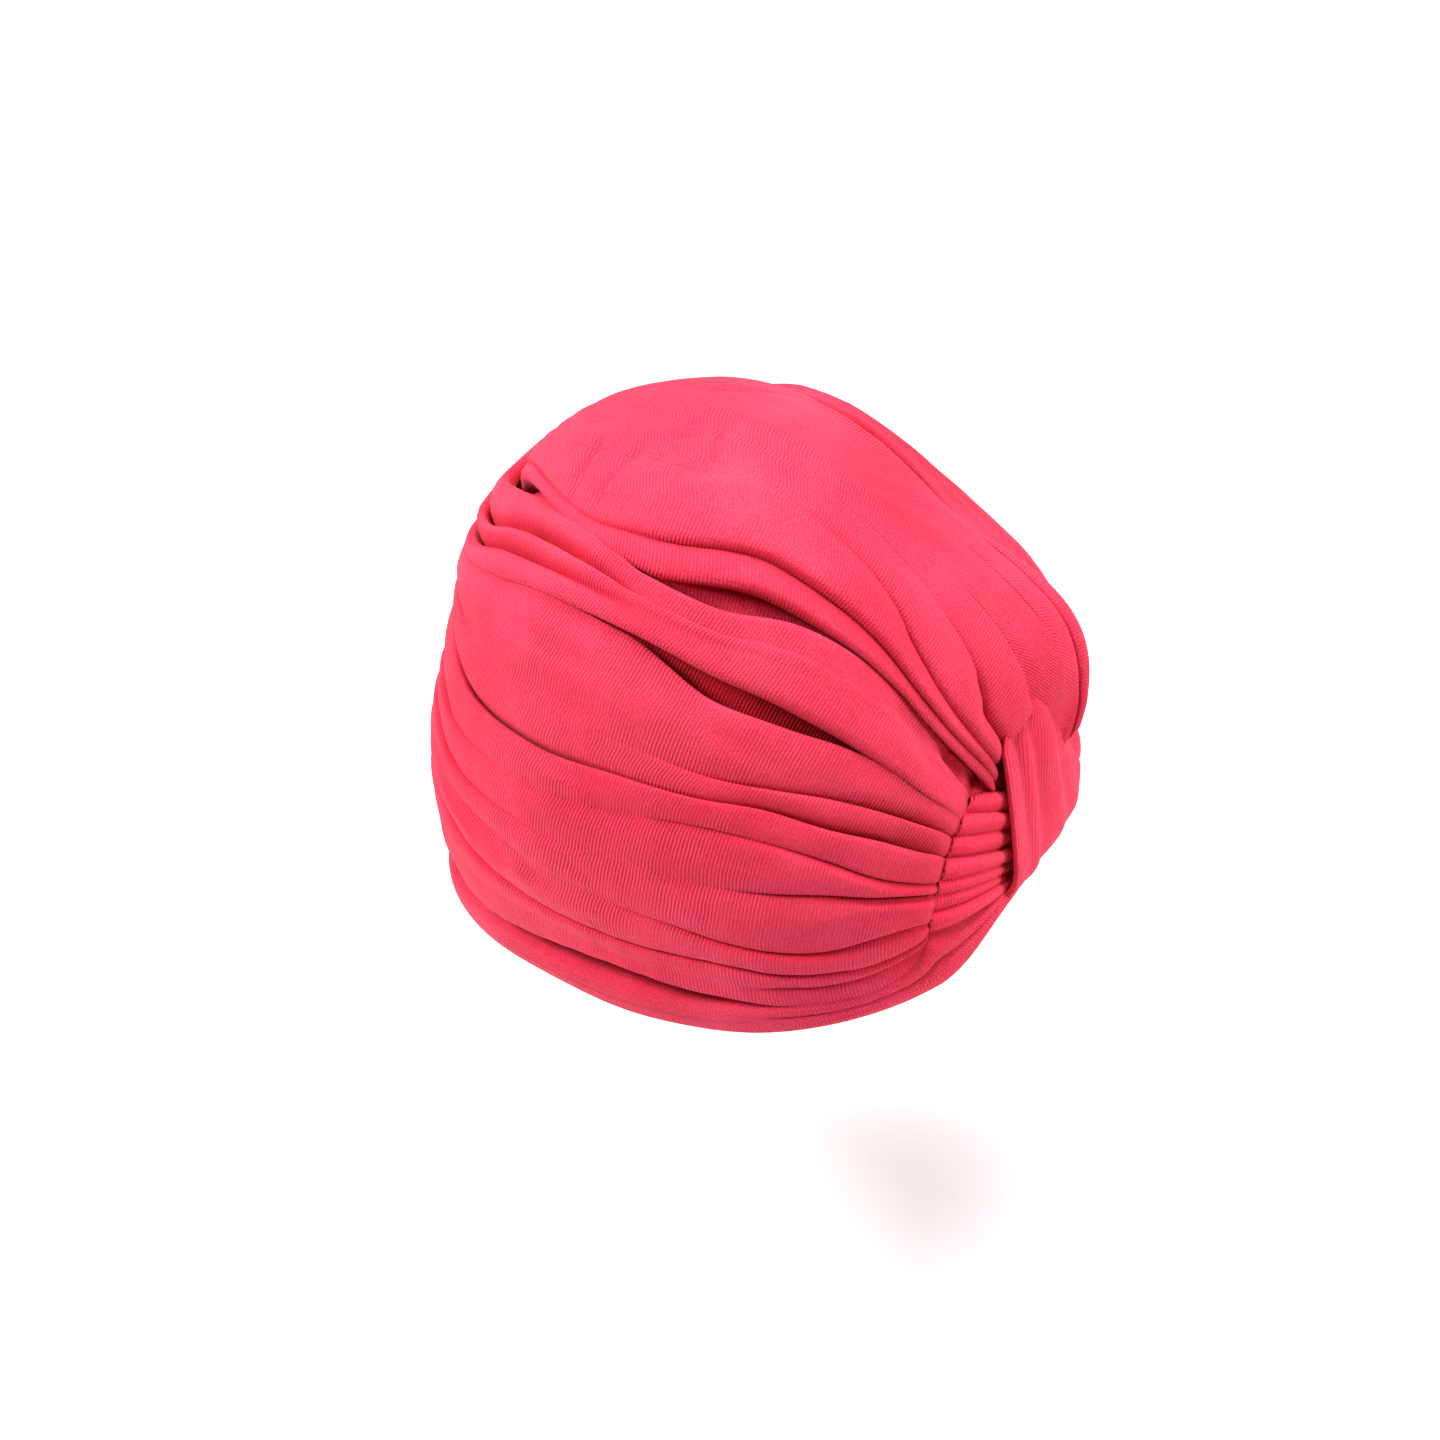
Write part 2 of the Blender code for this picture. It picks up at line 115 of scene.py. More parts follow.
# One row for each crease of the side wrap, from its rolled top edge down to its lower edge
# lie: degrees about the axis at the seam and the front stations, then above the rim at the back ones
# sink: millimetres of the crease under the envelope at each station
# crest: millimetres of the fold below it over the envelope, or None over the bare floor of a slit
# tuck: millimetres it is drawn in under the fold below it, or above it where less than nothing
Pleat = namedtuple("Pleat", "name lie sink crest tuck")
PLEATS = (
    Pleat("rolled top edge", (66, 68.2, 69.9, 71.2, 71, 69.4, 71, 76, 76.3, 76.4, 74, 68.5),
          (10, 8, 6, 5.5, 8.5, 9, 4, 4.5, 6, 6, 6, 6),
          (-7, -5, -2.8, -0.6, 0.8, 1.2, 1.4, 1, 0.5, 0, 0, 0), 0.6),
    Pleat("back fold", (60.4, 63, 65.4, 66.7, 67, 66.4, 68.6, 72.2, 72.6, 72, 68.5, 64.5),
          (5, 3.4, 1.9, 0, -1, -0.9, -0.9, 2.4, 6, 7, 7, 7),
          (-3.4, -2, -0.6, 1.2, 2, 1.8, 1.3, 0.6, 0, 0, 0.5, 1), 1.0),
    Pleat("under fold", (56.6, 59, 62, 64, 65, 65.2, 67.3, 70.4, 70.3, 69.3, 66, 61.5),
          (2.2, 0.8, -0.4, -1.3, -1.8, -1.4, -0.8, 1.2, 4, 6, 6, 6),
          (-1.6, 0.4, 1.4, 2, 2, 1.6, 1.1, 0.5, 0, 0.5, 0.5, 1), 0.8),
    Pleat("deep pleat", (53.4, 54.5, 56.7, 59, 60.8, 62.4, 65.2, 68.8, 68.2, 66.8, 64, 59.3),
          (5, 7.5, 9.5, 10, 10, 10, 9.5, 8, 7, 6.5, 6, 5.5), None, -5.0),
    Pleat("deep pleat floor", (53.1, 54.2, 56.4, 57.4, 57.7, 59.2, 64, 68.3, 67.6, 66.2, 63.3, 58.6),
          (5, 7.5, 9.5, 10, 10, 10, 9.5, 8, 7, 6.5, 6, 5.5),
          (-1.5, -0.5, 0, 0.4, 0.5, 0.5, 0.5, 0.5, 0.5, 0.5, 0.5, 1), 2.5),
    Pleat("upper short pleat", (45.5, 46.8, 48.1, 48.8, 49, 50, 52.3, 55, 56.5, 58.5, 59.5, 55.5),
          (5, 6.5, 6.5, 5, 3.5, 2, 1, 0.2, 0.5, 1.5, 3.5, 4),
          (-2, -1, -0.5, -0.4, -0.3, -0.2, -0.2, -0.4, -0.5, -0.8, -1, -1), 2.0),
    Pleat("long pleat", (39.2, 40.3, 42.3, 43.6, 45.6, 46.4, 48, 49.8, 50.8, 52.2, 56, 52),
          (5, 7, 7.5, 6.5, 5, 3, 2.5, 5, 6.5, 7, 6, 5),
          (-2, -1.5, -0.5, 0, 0.2, 0.5, 0.6, 0.5, 0, -0.5, -1, -1), 2.2),
    Pleat("ear pleat", (32.6, 33.4, 35.2, 38.5, 41, 42.7, 43.6, 44.6, 45.6, 46.5, 48, 46),
          (4.5, 5.5, 4.5, 2.5, 1.5, 1.5, 1, 0.5, 0.5, 1.5, 3, 3),
          (-2, -1, 0, 0.8, 1.2, 1.2, 1, 1, 0.8, 0.5, 0, 0), -2.0),
    Pleat("cheek pleat", (29, 29.6, 30.3, 31.6, 32, 33, 35.5, 37, 39, 41, 44.4, 41),
          (4.5, 5, 4.5, 3, 2, 0.8, 0, -0.4, 0, 0.8, 1.5, 2),
          (-1.6, -0.2, 0.6, 0.9, 1.2, 1.2, 1.3, 1.5, 1.5, 1.2, 1, 0.5), -0.6),
    Pleat("low pleat", (20.5, 21.8, 21, 19.4, 20.2, 22.3, 25.2, 28.5, 33, 37, 41.5, 38),
          (4.5, 5, 5.4, 5, 4, 3, 1.5, 0.2, -0.4, -0.3, 0, 0),
          (-2, -0.8, 0, 0.5, 0.5, 0.6, 0.9, 1.4, 1.6, 1.4, 1, 0.5), -2.0),
    Pleat("nape pleat", (17.6, 15.6, 13.5, 13.8, 14.8, 17.2, 19, 21.4, 25.3, 30, 37, 34),
          (3.6, 3, 3, 3, 3, 2.5, 2, 2.6, 3.5, 5, 5, 4),
          (-2, -1.2, -0.4, 0, 0, 0.2, 0.4, 0.4, 0.4, 0.3, 0, 0), -1.6),
    Pleat("lowest pleat", (16.2, 13.4, 10.9, 10, 11, 12.2, 14.5, 17.2, 21.5, 23.5, 26, 24.5),
          (3.6, 3.2, 2.8, 2.2, 1.6, 0.6, 0.2, 0.2, 0.4, 0.6, 0.8, 0.8),
          (-2.4, -1.4, -0.6, -0.3, -0.2, 0, 0, 0, -0.2, -0.4, -0.6, -0.6), -0.6),
    Pleat("lower edge", (14.4, 10.6, 6.6, 5.6, 6.8, 9.2, 11, 14.4, 17.2, 17, 16, 15.5),
          (5.5, 5.5, 5.5, 6.5, 8.5, 9.5, 9.5, 9.5, 9.5, 9, 8, 7), None, -4.0),
)
# On the left the top folds lie higher by these degrees, and the rolled edge lower by these millimetres
LEFT_RISES = (
    (0, 0, 0, 0.8, 1.6, 4.0, 3.6, 0.5, 1.0, 0.5, 0, 0),
    (0, 0, 0, 0.8, 1.6, 3.4, 2.6, 0.8, 1.0, 0.5, 0, 0),
    (0, 0, 0, 0.4, 1.0, 2.4, 1.6, 0.6, 0.8, 0.4, 0, 0),
)
LEFT_ROLL_LOWER = (0, 0, 0.5, 1, 1.5, 2, 3, 4, 4.5, 4.5, 2.5, 0)

# One row for each crease of the crown drape, from its hidden skirt on the right to the one on the left
DRAPE_STATIONS = (30.2, 31.6, 33.5, 36, 40, 46, 50.5, 57, 70, 84, 96, 104, 110, 114)
SKIRT_CREST = (-13,) * 14
DRAPE = (
    Pleat("right skirt", (62, 62, 62, 62, 62, 63, 64, 65.5, 66.5, 68, 71, 74, 76, 78),
          (13.2,) * 14, SKIRT_CREST, 0),
    Pleat("right slit", (69, 68.4, 68.4, 68.6, 69, 70, 71.3, 72.1, 73, 72.2, 78, 84, 88.5, 90),
          (12, 12, 11.5, 9, 7.5, 7, 7, 8, 12.9, 5, 5, 12, 13, 13),
          (-8, -5, -2.5, -1.5, -1, -0.6, -0.5, 0, 0, -0.4, 0, -0.5, -9, -12.5), 7.0),
    Pleat("roll crease", (71.4, 70.8, 70.8, 71, 71.6, 72.8, 73.9, 75.8, 77.2, 75.6, 79.4, 86.4, 90, 91.5),
          (11.5, 11, 10, 9, 7.5, 7, 7, 7.5, 8, 7, 3.5, 3, 11, 12.8),
          (-7, -3, -1, 0.6, 1.4, 2, 2.2, 2.8, 2.8, 2.2, 1.2, 0.5, -8, -12.6), 4.0),
    Pleat("knot crease", (75.4, 74.2, 73.4, 73, 73.6, 75.2, 77.6, 81.6, 83.5, 82.5, 85, 88.5, 91.3, 92.7),
          (11, 10, 9, 8, 7.5, 7, 6, 4, -1.2, -0.8, -0.4, 0.5, 9, 12.7),
          (-4, 0, 2.2, 3, 3.2, 3, 2.8, 2.2, 1.4, 0.8, 0.6, 0, -8, -12.6), 2.6),
    Pleat("loop crease", (79, 79, 79, 79.2, 82.2, 85, 86.5, 87.6, 88.2, 88, 89, 91, 92.8, 94),
          (9, 8.5, 8, 6.5, 3.5, 0, -0.8, -1.2, -0.8, -0.4, 0, 1.5, 9.5, 12.7),
          (1.2, 1.8, 2.4, 3, 3.4, 2.8, 2.4, 1.8, 0.8, 0.4, 0.2, -1, -9, -12.6), 1.6),
    Pleat("left loop crease", (91, 91, 91.4, 92, 92.6, 93, 93.2, 93, 92.5, 92.3, 92.8, 93.6, 94.4, 95.4),
          (3, 2, 0.4, -1, -1.8, -2, -1.8, -1.4, -0.6, -0.2, 0.5, 2.4, 9.5, 12.7),
          (-5, -3, -1, 0.6, 2, 2.4, 2, 1.2, 0.6, 0.2, -0.5, -2, -9, -12.6), 0.4),
    Pleat("left knot crease", (102, 102, 102.4, 102.8, 103, 101.6, 101, 99, 97.5, 95.8, 95.6, 95.6,
                               95.8, 96.6),
          (12, 7, 3, 0, -1.4, -1.4, -1, -0.8, 0, 0.4, 1, 3.2, 9.5, 12.7),
          (-12, -8, -4, -0.5, 2, 2, 1.4, 0.6, -0.2, -0.4, -1, -3, -9, -12.6), 0.6),
    Pleat("left roll crease", (114, 113, 112, 111, 109.5, 107.5, 106, 103.6, 101, 99, 98, 97.2, 97, 97.6),
          (5, 2, 1, 0.5, 0, 0, 0, 0.2, 1, 1, 2, 4, 9.5, 12.8),
          (-7, -1, 1, 2, 2.2, 1.6, 0.6, -0.4, -1.4, -1.2, -2, -4, -9, -12.6), 0.8),
    Pleat("left slit", (118, 117.5, 117, 116, 114, 111, 109, 106, 104.6, 103, 101, 99.6, 98.6, 98.6),
          (11, 11, 11.5, 12, 12.6, 12.9, 12.9, 12.9, 12.9, 12.5, 12.5, 12.8, 13, 13), SKIRT_CREST, -1.5),
    Pleat("left skirt", (122, 122, 121.5, 121, 119.5, 117, 115.5, 113, 110.5, 108, 106, 104, 103, 103),
          (13.2,) * 14, None, 0),
)
# Degrees that the drape's front edge comes down further at each crease, beside and over the loop
DRAPE_REACH = (5, 4, 1.5, -0.6, -1.2, -1.4, 6.5, 9, 9, 9)
REACH_FADES = (31, 46)

# One row for each crease of the gathered strip, from its top edge down
# seam: degrees about the axis where it leaves the seam; under: degrees over the rim in the middle
# around, beside: degrees round and over the rim where it goes under the edge of the loop
Gather = namedtuple("Gather", "name seam around beside under sink crest")
GATHERS = (
    Gather("top edge", 66, 8.0, 27.0, 24.5, 11, -7),
    Gather("hollow's foot", 60.4, 8.6, 22.8, 21, 8.5, -1.4),
    Gather("first crease", 53.4, 10, 19, 18, 6.5, -0.8),
    Gather("second crease", 45.8, 11.2, 16.5, 15.2, 6.5, -1.8),
    Gather("third crease", 39, 13.8, 13.5, 12.4, 7.5, -0.8),
    Gather("fourth crease", 32, 14.8, 11, 10.2, 6.0, -1.4),
    Gather("fifth crease", 28, 15.6, 9.2, 8.6, 6.5, -2.0),
    Gather("sixth crease", 22.5, 16, 7.6, 7.2, 6.5, -0.8),
    Gather("bottom edge", 16, 16.5, 5.8, 5.6, 5.5, None),
)

# Loop over the middle of the forehead
LOOP_FOOT_HALF = 0.0322
LOOP_HEAD_HALF = 0.0142
LOOP_HEAD_MIDDLE = 0.005
LOOP_FOOT = 2.6
LOOP_FOOT_CORNER = 5.5
LOOP_HEAD = 36.0
LOOP_FOOT_PROUD = 4.2
LOOP_HEAD_PROUD = -1.6
LOOP_BEHIND = 0.0076
# Where the band turns back at its foot and head: degrees past the face, and metres out
LOOP_TURN = 0.7
LOOP_TURN_OUT = np.array([-0.0055])
LOOP_EDGE_DROP = 3.5
LOOP_ROWS = 60
LOOP_COLUMNS = 72
# On its far side the face stands out more at its foot and less at its head, in millimetres
LOOP_FAR_FLARE = 7.5
LOOP_FAR_DROP = 8.6
# Its right edge leans in at the head
LOOP_NECK = 0.0055
# Stitches: share of the loop's half width from its edge, millimetres down in the seam, size in metres
LOOP_STITCH_ROWS = (0.07, 0.13)
SEAM_STITCH_SINK = 2.6
SEAM_STITCHES = 22
LOOP_STITCHES = 19
STITCH_LONG = 0.0017
STITCH_THICK = 0.0004
# Height of the loop's face across it, in millimetres: hem, soft folds, ridge, far side
LOOP_FACE = ((-1, 0.4), (-0.94, 0.6), (-0.84, 0.0), (-0.68, -0.8), (-0.52, 0.6), (-0.36, -0.9),
             (-0.1, 0.8), (0.1, 1.1), (0.28, -0.3), (0.5, 0.4), (0.7, -0.6), (0.85, -0.8), (0.93, -0.7),
             (1, -0.8))

# Hem of the inner cap: share of the way up to the wrap's lower edge, and millimetres under the envelope
HEM_RINGS = ((-0.06, 3.4), (-0.09, 2.0), (-0.03, 0.9), (0.10, 0.3), (0.30, 0.0), (0.50, 0.1),
             (0.70, 0.7), (0.86, 1.9), (0.97, 3.6), (1.04, 6.0), (1.08, 9.0))
CAP_WAVE = (0.002, 0.06, 9)
# Painted shade on the cap above its hem, where it lies in under the wrap
CAP_PAINTED_SHADE = 0.75
CAP_COLUMNS = 240
HEM_ROWS = 40
CAP_ROWS = 40
HEM_HIDDEN = 7.0
HEM_SHOWN = 15.0
# The hem's lower roll parts from the upper one towards the front
HEM_PARTS_AT = 78.0
HEM_PARTED_AT = 55.0
HEM_PARTING = 0.5
HEM_PARTING_WIDTH = 0.13
HEM_PARTING_DEPTH = 2.6
# The rim rises towards the loop, and the hem's top lies off the wrap's edge beside the ear
RIM_LIFT = 5.0
RIM_LIFT_FROM, RIM_LIFT_FULL = 38.0, 17.0
STRIP_FOOT = 6.4
EAR_GAP = 0.36
EAR_GAP_DEPTH = 7.0
EAR_GAP_AT, EAR_GAP_SPREAD = 102.0, 30.0
NAPE_LIFT = 10.0
NAPE_FROM = 72.0
NAPE_FULL = 150.0

# Soft creases across the folds, and ridges with a depth less than nothing; the points are in degrees
# about the axis and back from the forehead, depth and width in millimetres
Wrinkle = namedtuple("Wrinkle", "start middle end depth width")
CROWN_WRINKLES = (
    # The edge of the upper layer that rolls into the slit
    Wrinkle((75.5, 90), (82.5, 74), (76.5, 52), -1.1, 2.6),
    # Soft ridges from the loop over the crown
    Wrinkle((101, 46), (95, 60), (88, 74), -1.2, 3.4),
    Wrinkle((105, 51), (102, 59), (94, 68), -1.0, 3.2),
    Wrinkle((86, 55), (86, 64), (88, 76), 0.7, 4.0),
    # Creases that slant down to the rolled edge
    Wrinkle((87.5, 93), (83, 94), (77.5, 94.5), 1.8, 2.2),
    Wrinkle((87.5, 86.5), (81, 90), (76, 92), 1.5, 1.8),
    Wrinkle((96, 91), (92.5, 91.5), (89, 92), 1.1, 1.8),
    Wrinkle((90, 81.5), (86, 80.5), (82.5, 80), 1.6, 1.6),
    Wrinkle((85, 87), (86.5, 84.5), (86.8, 81.5), 0.9, 1.8),
    Wrinkle((94, 88), (97, 83), (101, 78), 1.2, 1.6),
    # Soft hollow in the roll that turns into the loop
    Wrinkle((83.5, 43), (79, 40), (74, 35.5), 1.3, 2.2),
    # Upright ridges over the loop
    Wrinkle((107, 43), (104.5, 39), (102.5, 35.5), -1.0, 2.2),
    Wrinkle((126, 43), (122, 37.5), (117, 32.5), -1.2, 2.4),
    Wrinkle((95, 43), (95.5, 38), (96, 34), -0.8, 2.6),
)
WRAP_WRINKLES = (
    Wrinkle((67.5, 42), (65, 38.5), (62, 34.5), 3.6, 2.4),
    Wrinkle((68, 52), (65, 47), (60, 41), 1.2, 2.4),
    Wrinkle((52, 128), (43, 124), (36, 119), -1.1, 1.8),
    Wrinkle((38, 118), (34, 111), (29, 102), 1.0, 2.4),
    Wrinkle((53, 106), (50, 98), (46.5, 90), 0.9, 2.4),
    Wrinkle((42.2, 36.8), (43.4, 42), (44.6, 48), 1.8, 2.2),
    Wrinkle((44, 57), (46, 66), (49, 74), 0.7, 3.4),
    Wrinkle((51, 60), (54, 70), (57, 78), 0.6, 3.0),
    Wrinkle((36, 60), (38, 72), (41, 84), 0.6, 3.2),
    Wrinkle((25, 40), (25.5, 47), (26, 55), 0.6, 2.2),
    Wrinkle((55.5, 86), (58, 96), (62, 105), 1.2, 3.0),
    Wrinkle((60.5, 88), (63.5, 97), (67, 105), 1.0, 2.8),
    Wrinkle((40, 92), (32, 84), (23.5, 76), -0.6, 2.4),
    Wrinkle((29, 60), (30, 70), (31, 80), -0.6, 3.6),
    Wrinkle((46, 121), (40.5, 116.5), (38, 109), 0.8, 2.6),
    Wrinkle((40, 113), (33, 109), (29, 98), 0.9, 2.6),
    Wrinkle((37, 102), (35, 99.5), (33, 97), 0.7, 2.2),
    Wrinkle((34, 66), (33.5, 84), (35, 96), 0.6, 3.0),
)
# Soft waves in each cloth: millimetres, length in metres and seed
WRAP_WAVES = ((0.35, 0.045, 3), (0.18, 0.016, 4))
DRAPE_WAVES = ((0.4, 0.05, 5), (0.12, 0.018, 6))
GATHER_WAVES = ((0.3, 0.02, 8),)
# Share of the way from a gather seam over which its folds are sewn down, and millimetres
WRAP_SEWN = (0.022, 2.6)
GATHER_SEWN = (0.16, 2.2)

# Columns of the wrap on its right and left halves, those crowded at its seams, and the others' counts
WRAP_COLUMNS = (128, 84)
CROWDED_COLUMNS = 8
CROWDED_SHARE = 0.02
DRAPE_COLUMNS = 190
GATHER_COLUMNS = 160
DRAPE_ROW_SPACING = 0.9
GATHER_ROW_SPACING = 0.5
GATHER_TUCK = 0.4
FLOOR_ROWS = 5


def from_polar(around, above):
    """Direction at an angle round from the forehead towards the right, and above the rim."""
    around, above = np.radians(around), np.radians(above)
    flat = np.cos(above)
    return np.stack([-np.sin(around) * flat, -np.cos(around) * flat, np.sin(above)], -1)


def from_axis(about, behind):
    """Direction at an angle about the front-to-back axis, and back from the forehead."""
    about, behind = np.radians(about), np.radians(behind)
    wide = np.sin(behind)
    return np.stack([-wide * np.cos(about), -np.cos(behind) + 0 * about, wide * np.sin(about)], -1)


def envelope(direction, out):
    """Point out from the envelope in a direction from the middle of the rim."""
    ahead = np.where(direction[..., 1] < 0, FRONT, BACK)
    plan = np.abs(direction[..., 0] / SIDE) ** PLAN_POWER
    plan = (plan + np.abs(direction[..., 1] / ahead) ** PLAN_POWER) ** (1 / PLAN_POWER)
    up = np.abs(direction[..., 2] / CROWN)
    reach = (plan ** DOME_POWER + up ** DOME_POWER) ** (-1 / DOME_POWER)
    level = np.arcsin(np.clip(direction[..., 2], -1, 1))
    reach = reach * (1 - RIM_DRAW_IN * np.clip(1 - level / WIDEST_LEVEL, 0, None) ** 2)
    for swell in SWELLS:
        near = direction @ from_polar(swell.around, swell.above)
        away = np.degrees(np.arccos(np.clip(near, -1, 1)))
        reach = reach + swell.rise * MM * np.exp(-(away / swell.spread) ** 2)
    return direction * (reach + out)[..., None]


def curve_through(stations, values, places):
    """Smooth curve through values at uneven stations, read at the given places."""
    stations = np.asarray(stations, float)
    values = np.asarray(values, float)
    steps = np.diff(stations)
    shape = (-1,) + (1,) * (values.ndim - 1)
    slopes = np.diff(values, axis=0) / steps.reshape(shape)
    before, after = steps[:-1].reshape(shape), steps[1:].reshape(shape)
    inner = (slopes[:-1] * after + slopes[1:] * before) / (before + after)
    tangents = np.concatenate([slopes[:1], inner, slopes[-1:]])
    index = np.clip(np.searchsorted(stations, places, side="right") - 1, 0, len(steps) - 1)
    width = steps[index].reshape(shape)
    t = ((places - stations[index]) / steps[index]).reshape(shape)
    start, end = values[index], values[index + 1]
    lean_in, lean_out = tangents[index] * width, tangents[index + 1] * width
    return ((2 * t**3 - 3 * t**2 + 1) * start + (t**3 - 2 * t**2 + t) * lean_in
            + (3 * t**2 - 2 * t**3) * end + (t**3 - t**2) * lean_out)


def smooth_step(t):
    t = np.clip(t, 0, 1)
    return t * t * (3 - 2 * t)


def unit(vectors):
    return vectors / np.maximum(np.linalg.norm(vectors, axis=-1, keepdims=True), 1e-12)


def seam_behind(lie):
    """How far back from the forehead the gather seam lies at an angle about the axis."""
    return SEAM_TOP_BEHIND + SEAM_SLANT * (SEAM_TOP_LIE - lie)


def seat_point():
    direction = np.array([0.0, -math.sin(RIM_TILT), math.cos(RIM_TILT)])
    return envelope(direction, np.array(-CAP_DEPTH - CAP_JERSEY))


def worn(points):
    """Turn points from the rim's own frame to the worn pose, with the seat at the origin."""
    points = np.asarray(points) - seat_point()
    c, s = math.cos(RIM_TILT), math.sin(RIM_TILT)
    x, y, z = points[..., 0], points[..., 1], points[..., 2]
    return np.stack([x, y * c + z * s, z * c - y * s], -1)


def wall_fall(distance, wall, softness):
    """One at a crease and nothing beyond its wall; a low softness makes the wall steep."""
    x = np.clip(distance / wall, 0, 1)
    return 1 - (1 - (1 - x) ** 2) ** softness


# How far a fold's wall reaches in from the crease; the side that a crease is tucked under is crisp
Wall = namedtuple("Wall", "least share most softness")
CRISP = Wall(0.8, 0.22, 3.4, 0.58)
GENTLE = Wall(1.4, 0.80, 7.5, 0.95)
CROWNING = 0.11
FLOOR_RISE = 0.5
# Painted shade given to the bare floor of every slit
FLOOR_PAINTED_SHADE = 0.8
FULL_TUCK_DEPTH = 4.0
ROW_SPACING = 1.15
FEWEST_ROWS, MOST_ROWS = 8, 26


def side_of_fold(crest, sink, gap, tucked):
    """Drop of a fold's top towards one crease, depth of the crease below that, and its wall."""
    room = crest + sink
    drop = np.minimum(CROWNING * gap, room)
    depth = room - drop
    kind = CRISP if tucked else GENTLE
    return drop, depth, np.minimum(kind.least + kind.share * depth, kind.most), kind.softness


def past_lip(tuck):
    """How far the bottom of a crease lies in under the lip of its fold."""
    return tuck - math.copysign(min(CRISP.most, abs(tuck)), tuck)


def tucked_in(tuck, crisp, distance, wall, fall):
    """Shift of a fold's side: its lip moves over the crease and the wall goes in under it."""
    if not crisp:
        return past_lip(tuck) * fall
    lip = 1 - smooth_step((distance - wall) / (2 * wall))
    return tuck * fall - (tuck - past_lip(tuck)) * lip


def folded(lines, sinks, crests, tucks, row_spacing=ROW_SPACING):
    """Directions, heights in millimetres and depth shares of creases with folds between; the depth shares
    are painted shade in the colour.

    lines is one row of directions for each crease; the folds between are rounded over, and
    their walls fall into the creases, crisp on the side that the crease is tucked under."""
    lines = unit(np.array(lines))
    reach = np.linalg.norm(envelope(lines, np.zeros(lines.shape[:2])), axis=-1) / MM
    downs = np.diff(lines, axis=0)
    downs = unit(np.concatenate([downs[:1], downs[:-1] + downs[1:], downs[-1:]]))
    directions, heights, depths = [], [], []
    for k in range(len(lines) - 1):
        bare = crests[k] is None
        last = k == len(lines) - 2
        radius = (reach[k] + reach[k + 1]) / 2
        gap = np.arccos(np.clip((lines[k] * lines[k + 1]).sum(-1), -1, 1)) * radius
        gap = np.maximum(gap, 0.3)
        rows = int(np.clip(np.percentile(gap, 75) / row_spacing, FEWEST_ROWS, MOST_ROWS))
        rows = FLOOR_ROWS if bare else rows
        if not bare:
            over_drop, over, over_wall, over_soft = side_of_fold(crests[k], sinks[k], gap, tucks[k] > 0)
            under_drop, under, under_wall, under_soft = side_of_fold(
                crests[k], sinks[k + 1], gap, tucks[k + 1] < 0)
            squeeze = np.minimum(1, gap / (over_wall + under_wall))
        for i in range(rows + 1 if last else rows):
            t = (1 - math.cos(math.pi * i / rows)) / 2
            direction = (1 - t) * lines[k] + t * lines[k + 1]
            if bare:
                height = -(1 - t) * sinks[k] - t * sinks[k + 1] + FLOOR_RISE * 4 * t * (1 - t)
                shift = ((1 - t) * past_lip(tucks[k]) * downs[k].T
                         + t * past_lip(tucks[k + 1]) * downs[k + 1].T)
                # The bare floor of a slit gets painted shade in its colour
                depth = np.full_like(height, FLOOR_PAINTED_SHADE)
            else:
                over_fall = wall_fall(t * gap, over_wall * squeeze, over_soft)
                under_fall = wall_fall((1 - t) * gap, under_wall * squeeze, under_soft)
                over_shift = tucked_in(tucks[k], tucks[k] > 0, t * gap, over_wall * squeeze, over_fall)
                under_shift = tucked_in(tucks[k + 1], tucks[k + 1] < 0, (1 - t) * gap,
                                        under_wall * squeeze, under_fall)
                drop = over_drop if t < 0.5 else under_drop
                height = crests[k] - drop * (2 * t - 1) ** 2 - over * over_fall - under * under_fall
                shift = (smooth_step(over / FULL_TUCK_DEPTH) * over_shift * downs[k].T
                         + smooth_step(under / FULL_TUCK_DEPTH) * under_shift * downs[k + 1].T)
                # Painted shade: the deeper a point lies down the walls of its creases, the darker its colour
                depth = np.clip((over * over_fall + under * under_fall) / 6, 0, 1.4)
            directions.append(direction + shift.T / radius[:, None])
            heights.append(height)
            depths.append(depth)
    return unit(np.array(directions)), np.array(heights), np.array(depths)


def waves(points, length, seed):
    """Smooth unevenness between -1 and 1 over points, of about this wavelength in metres."""
    rng = np.random.default_rng(seed)
    total = np.zeros(points.shape[:-1])
    for _ in range(7):
        way = unit(rng.normal(size=3)) * (2 * math.pi / length) * rng.uniform(0.7, 1.4)
        total += np.sin(points @ way + rng.uniform(0, 2 * math.pi))
    return total / 7 ** 0.5


def uneven(directions, heights, sizes):
    """Add soft waves, each with its millimetres, its length in metres and its own seed."""
    base = envelope(directions, np.zeros(heights.shape))
    for rise, length, seed in sizes:
        heights = heights + rise * waves(base, length, seed)
    return heights


def sewn_down(heights, places, sewn):
    """Draw every fold in at its two gather seams, over a share of the way and by millimetres."""
    share, depth = sewn
    away = np.minimum(places, 2 - places) / share
    return heights - depth * np.clip(1 - away, 0, 1) ** 2.0


